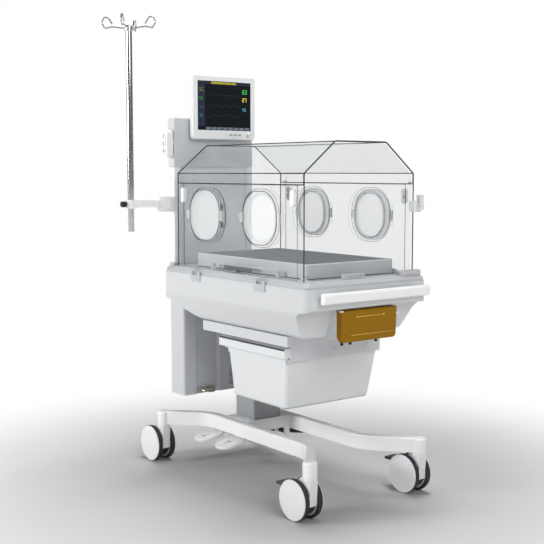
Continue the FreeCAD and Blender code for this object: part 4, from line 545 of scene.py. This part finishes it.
# %% [markdown]
# ## Edges of the panels and ends
# Each drop-down panel and each end wall shows its rim too. The panel rims are pale beads, painted light along
# the polished edge, and the corner lines are dark beads, painted shade. The upright rims at the four corners
# stand side by side, one from the panel and one from the moulded end, with a narrow gap between them.

# %% Panel and corner edges
panel_foot, panel_top, rim_y, corner_foot, corner_top = 0.851, 1.1854, 0.2634, 0.8485, 1.1858
for side, s in (("front", -1), ("rear", 1)):
    low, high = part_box(side + "_panel")
    x0, x1, z0, z1 = low[0] + 0.001, high[0] - 0.001, panel_foot, panel_top
    y = s * rim_y
    rim = np.array([(x0, y, z0), (x1, y, z0), (x1, y, z1), (x0, y, z1)])
    ring = np.concatenate([straight(rim[i], rim[(i + 1) % 4], 12)[:-1] for i in range(4)])
    swept_set(side + "_panel_rim", [ring], 0.0012, side + "_panel", acrylic_edge_painted_light, closed=True)
corner_lines = [straight((x, y, corner_foot), (x, y, corner_top)) for x in (x_head, x_foot)
                for y in (-side_y, side_y)]
swept_set("end_corner_edges", corner_lines, 0.0022, "chassis", acrylic_edge_painted_shade)
print("corner lines:", len(corner_lines))

# %% [markdown]
# ## Port seals
# A soft silicone ring lines each hand port and seals round the arm. It is a thick bead that follows the hole.
# A thinner dark line, painted shade, marks the rim of the door, and a pale line, painted light, marks the
# edge of the port ring.

# %% Port seals and door rims
port_z, port_x = 1.064, {"head": -0.156, "foot": 0.205}
# Each oval: its distance from the middle plane, half width, half height, corner radius and bead radius.
seal_oval = (0.2665, 0.0835, 0.0875, 0.0755, 0.0042)
ring_oval = (0.2731, 0.1125, 0.1065, 0.0955, 0.0010)
door_oval = (0.2785, 0.1022, 0.0982, 0.0872, 0.0012)


def port_beads(name, s, ends, oval, body, material):
    """Beads round the ports of some ends, on one side: s is -1 for the front and 1 for the rear."""
    out, half_x, half_z, corner, bead = oval
    paths = [oval_path(port_x[end], s * out, port_z, half_x, half_z, corner) for end in ends]
    swept_set(name, paths, bead, body, material, closed=True)


for side, s in (("front", -1), ("rear", 1)):
    panel = side + "_panel"
    port_beads(side + "_port_seals", s, port_x, seal_oval, panel, seal_rubber)
    port_beads(side + "_port_ring_edges", s, port_x, ring_oval, panel, acrylic_edge_painted_light)
    for end in port_x:
        door = side + "_port_door_" + end
        port_beads(door + "_rim", s, [end], door_oval, door, acrylic_edge_painted_shade)
print("ports with a seal:", 2 * len(port_x))

# %% [markdown]
# ## Beads on the water tank
# The tank's cover has two raised beads that catch the light, the upper one with a round boss at each end.
# Their lighter amber is a painted highlight for that light.
# Small white catches hold the cover at its upper corners.

# %% Tank beads and catches
tank_low, tank_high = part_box("water_tank")
bead_x = tank_high[0] + 0.0002
upper_z, lower_z = 0.7125, 0.6475
upper_ends, lower_ends = (-0.046, 0.084), (-0.075, 0.128)
boss_radius, boss_count = 0.0022, 24
# Lighter amber on the beads and bosses is a painted highlight.
amber_painted_highlight, tree, shader = start_material("amber_moulded_bead", "#E3BC55", 0.12, ior=clear_coat_ior)
beads = [straight((bead_x, ends[0], z), (bead_x, ends[1], z))
         for ends, z in ((upper_ends, upper_z), (lower_ends, lower_z))]
swept_set("tank_beads", beads, 0.0013, "tank", amber_painted_highlight)
turn = np.linspace(0, math.tau, boss_count, endpoint=False)
bosses = [np.stack([np.full(boss_count, bead_x), y + boss_radius * np.cos(turn),
                    upper_z + boss_radius * np.sin(turn)], -1) for y in upper_ends]
swept_set("tank_bosses", bosses, 0.0016, "tank", amber_painted_highlight, closed=True)


def block(low, high):
    """Corner points and outward faces of a box between two corners."""
    corners = [(x, y, z) for x in (low[0], high[0]) for y in (low[1], high[1]) for z in (low[2], high[2])]
    faces = [(0, 1, 3, 2), (4, 6, 7, 5), (0, 4, 5, 1), (2, 3, 7, 6), (0, 2, 6, 4), (1, 5, 7, 3)]
    return corners, faces


catches = [("near", -0.1195, 0.7375), ("far", 0.1515, 0.7135)]
for name, y, z in catches:
    points, faces = block((bead_x - 0.012, y - 0.005, z - 0.0035), (bead_x + 0.0015, y + 0.005, z + 0.0015))
    make_piece("tank_catch_" + name, points, faces, "tank", bright_abs, smooth=False)
print("beads and catches on the tank:", len(beads) + len(catches))

# %% [markdown]
# ## Painted gap shadow and touch keys
# A black strip along the top of the drawer's rail is painted shadow: it darkens the gap to the frame, where
# shade falls. The monitor has three flat touch keys beside its knob, printed in grey on a thin film.

# %% Painted drawer gap shadow and monitor keys
# The dark strip is painted shadow in the gap between rail and frame, drawn with the dark tread material.
rail_low, rail_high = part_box("drawer_bin")
points, faces = block((rail_low[0] + 0.004, rail_low[1] - 0.0012, rail_high[2] - 0.0085),
                      (rail_high[0] - 0.004, rail_low[1] + 0.003, rail_high[2] - 0.0025))
make_piece("drawer_gap_painted_shadow", points, faces, "drawer", tread_rubber, smooth=False)
bezel_low, bezel_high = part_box("monitor_housing")
key_film, tree, shader = start_material("printed_key_film", "#8D9298", 0.35, ior=clear_coat_ior)
key_y, key_width, key_foot, key_top = np.array([0.0, 0.022, 0.044]), 0.015, 1.385, 1.391
key_points = np.stack([np.full((3, 4), bezel_high[0] + 0.0004),
                       key_y[:, None] + np.array([0.0, key_width, key_width, 0.0]),
                       np.broadcast_to(np.array([key_foot, key_foot, key_top, key_top]), (3, 4))], -1)
make_piece("monitor_touch_keys", key_points.reshape(-1, 3), np.arange(12).reshape(3, 4).tolist(), "monitor",
           key_film, smooth=False)
print("touch keys:", len(key_y))

# %% [markdown]
# ## Arrows on the pedals
# The two near pedals lift and lower the column, and an arrow is printed on each. The pad slopes down by
# nine degrees from its hub. A point s along the pad and h above its middle plane lies at hub + s * down
# the slope + h along the slope's normal, so the strokes are drawn flat first and then tilted.

# %% Pedal arrows
arrow_ink, tree, shader = start_material("dark_printed_ink", "#2A2C30", 0.5, ior=clear_coat_ior)
slope = math.radians(9.0)
hub_y, hub_z, ink_height, arrow_middle, barb = -0.095, 0.151, 0.0073, 0.095, 0.013


def on_pad(points):
    """(x, s, h) on the near pedals to metres: y = hub - s cos a - h sin a, z = hub - s sin a + h cos a."""
    x, s, h = np.asarray(points, float).T
    y = hub_y - s * math.cos(slope) - h * math.sin(slope)
    z = hub_z - s * math.sin(slope) + h * math.cos(slope)
    return np.stack([x, y, z], -1)


def stroke(start, end, width):
    """Flat quad along a line in the pad's plane, just clear of its top."""
    start, end = np.array(start), np.array(end)
    side = np.array([-(end - start)[1], (end - start)[0]]) / np.linalg.norm(end - start) * width / 2
    quad = np.array([start - side, end - side, end + side, start + side])
    return on_pad(np.column_stack([quad, np.full(4, ink_height)]))


for way, x, tip in (("up", -0.135, 0.078), ("down", -0.285, 0.112)):
    tail, shoulder = 2 * arrow_middle - tip, (tip + arrow_middle) / 2
    lines = [((x, tail), (x, tip)), ((x - barb, shoulder), (x, tip)), ((x + barb, shoulder), (x, tip))]
    quads = np.concatenate([stroke(a, b, 0.0035) for a, b in lines])
    faces = np.arange(12).reshape(3, 4)[:, ::-1].tolist()
    make_piece("pedal_arrow_" + way, quads, faces, "pedal_near_" + way, arrow_ink,
               smooth=False)

# %% [markdown]
# ## Camera
# The camera stands where the photographer's did: 52.6 degrees round from the front, 5.5 degrees above,
# with a 68 mm lens on a 36 mm square sensor.

# %% Camera
camera_data = bpy.data.cameras.new("camera")
camera_data.lens = 68.13
camera_data.sensor_width = 36.0
camera_data.clip_end = 200.0
camera = bpy.data.objects.new("camera", camera_data)
bpy.context.scene.collection.objects.link(camera)
camera.location = (3.2185, -2.5216, 1.2307)
camera.rotation_euler = (math.radians(90.0 - 5.53), 0.0, math.radians(52.63))
bpy.context.scene.camera = camera
print("camera at", tuple(round(v, 2) for v in camera.location))

# %% [markdown]
# ## Floor
# The studio floor is pale grey under the object and runs out into white. A shader does this: the distance
# from the origin, in Object coordinates, mixes the matt paint with a white glow. The darker floor near the
# object is a painted shadow pool by distance alone, on top of the shadow the lamps cast.

# %% Floor
floor_mesh = bpy.data.meshes.new("floor")
reach = 40.0
floor_mesh.from_pydata([(-reach, -reach, 0), (reach, -reach, 0), (reach, reach, 0), (-reach, reach, 0)], [],
                       [(0, 1, 2, 3)])
floor = bpy.data.objects.new("floor", floor_mesh)
bpy.context.scene.collection.objects.link(floor)
floor_paint, tree, shader = start_material("pale_studio_floor", "#B8B8B8", 0.7)
output = [node for node in tree.nodes if node.type == "OUTPUT_MATERIAL"][0]
place = add_node(tree, "ShaderNodeTexCoord")
far = add_node(tree, "ShaderNodeVectorMath", {"operation": "LENGTH"}, {0: (place, "Object")})
# Grey near the origin giving way to white by distance: a painted shadow pool round the object.
fade_start, fade_end = 0.6, 1.95
painted_shadow_fade = add_node(tree, "ShaderNodeMapRange",
                {"From Min": fade_start, "From Max": fade_end, "interpolation_type": "SMOOTHSTEP"},
                {"Value": (far, "Value")})
white = add_node(tree, "ShaderNodeEmission", {"Color": srgb("#FFFFFF"), "Strength": 1.0})
blend = add_node(tree, "ShaderNodeMixShader",
                 links={0: (painted_shadow_fade, "Result"), 1: (shader, "BSDF"), 2: (white, "Emission")})
tree.links.new(blend.outputs["Shader"], output.inputs["Surface"])
floor_mesh.materials.append(floor_paint)
print("floor turns white from", fade_start, "to", fade_end, "m")

# %% [markdown]
# ## Soft boxes
# Three square area lights: the key from the left front, a weaker and larger fill from the right, high up,
# and a top light that gives the hood and the deck their bright upper faces.


# %% Soft boxes
def soft_box(name, place, target, size, power):
    """A square area light at a place, aimed at a target: its -Z axis points along target minus place."""
    light = bpy.data.lights.new(name, "AREA")
    light.size = size
    light.energy = power
    lamp = bpy.data.objects.new(name, light)
    bpy.context.scene.collection.objects.link(lamp)
    lamp.location = place
    direction = Vector(target) - Vector(place)
    lamp.rotation_euler = direction.to_track_quat("-Z", "Y").to_euler()
    return lamp


soft_box("key", (-1.8, -5.0, 2.1), (0, 0, 0.8), 1.6, 175.0)
soft_box("fill", (4.4, -0.8, 3.3), (0, 0, 1.0), 2.6, 95.0)
soft_box("top", (-0.2, 0.8, 6.0), (0, 0, 0.8), 2.2, 250.0)
print("soft boxes:", len(bpy.data.lights))


# %% [markdown]
# ## Paper surround
# A studio hangs white paper all round, so that the object stands in front of white from every side. Here
# it is a large dome: a point at turn u and rise v lies at R * (cos v cos u, cos v sin u, sin v). It glows
# evenly, and it is left out of the soft light that falls on the object, because the three boxes give
# that.

# %% Paper surround
dome_radius, dome_turns, dome_rises = 30.0, 48, 16
turn = np.linspace(0, math.tau, dome_turns, endpoint=False)[None, :]
rise = np.linspace(-0.1, math.pi / 2 - 0.02, dome_rises)[:, None]
dome = dome_radius * np.stack([np.cos(rise) * np.cos(turn), np.cos(rise) * np.sin(turn),
                               np.sin(rise) * np.ones_like(turn)], -1).reshape(-1, 3)
dome_faces = [quad[::-1] for quad in grid_faces(dome_rises, dome_turns, wrap_columns=True)]
dome_faces.append(list(range((dome_rises - 1) * dome_turns, dome_rises * dome_turns))[::-1])
dome_mesh = bpy.data.meshes.new("paper_surround")
dome_mesh.from_pydata(dome.tolist(), [], dome_faces)
paper, tree, shader = start_material("white_paper_surround", "#0A0A0A", 0.9)
shader.inputs["Specular IOR Level"].default_value = 0.0
shader.inputs["Emission Color"].default_value = srgb("#FFFFFF")
shader.inputs["Emission Strength"].default_value = 0.995
dome_mesh.materials.append(paper)
surround = bpy.data.objects.new("paper_surround", dome_mesh)
bpy.context.scene.collection.objects.link(surround)
surround.visible_diffuse = False
surround.visible_glossy = False
print("surround faces:", len(dome_faces))

# %% [markdown]
# ## World
# A weak even light from all round fills the shadows. The Standard view transform keeps white as white.

# %% World and view
world = bpy.data.worlds.new("pale_surround")
bpy.context.scene.world = world
world.use_nodes = True
world.node_tree.nodes["Background"].inputs["Color"].default_value = srgb("#FFFFFF")
world.node_tree.nodes["Background"].inputs["Strength"].default_value = 0.2
bpy.context.scene.view_settings.view_transform = "Standard"
print("world strength:", round(world.node_tree.nodes["Background"].inputs["Strength"].default_value, 2))
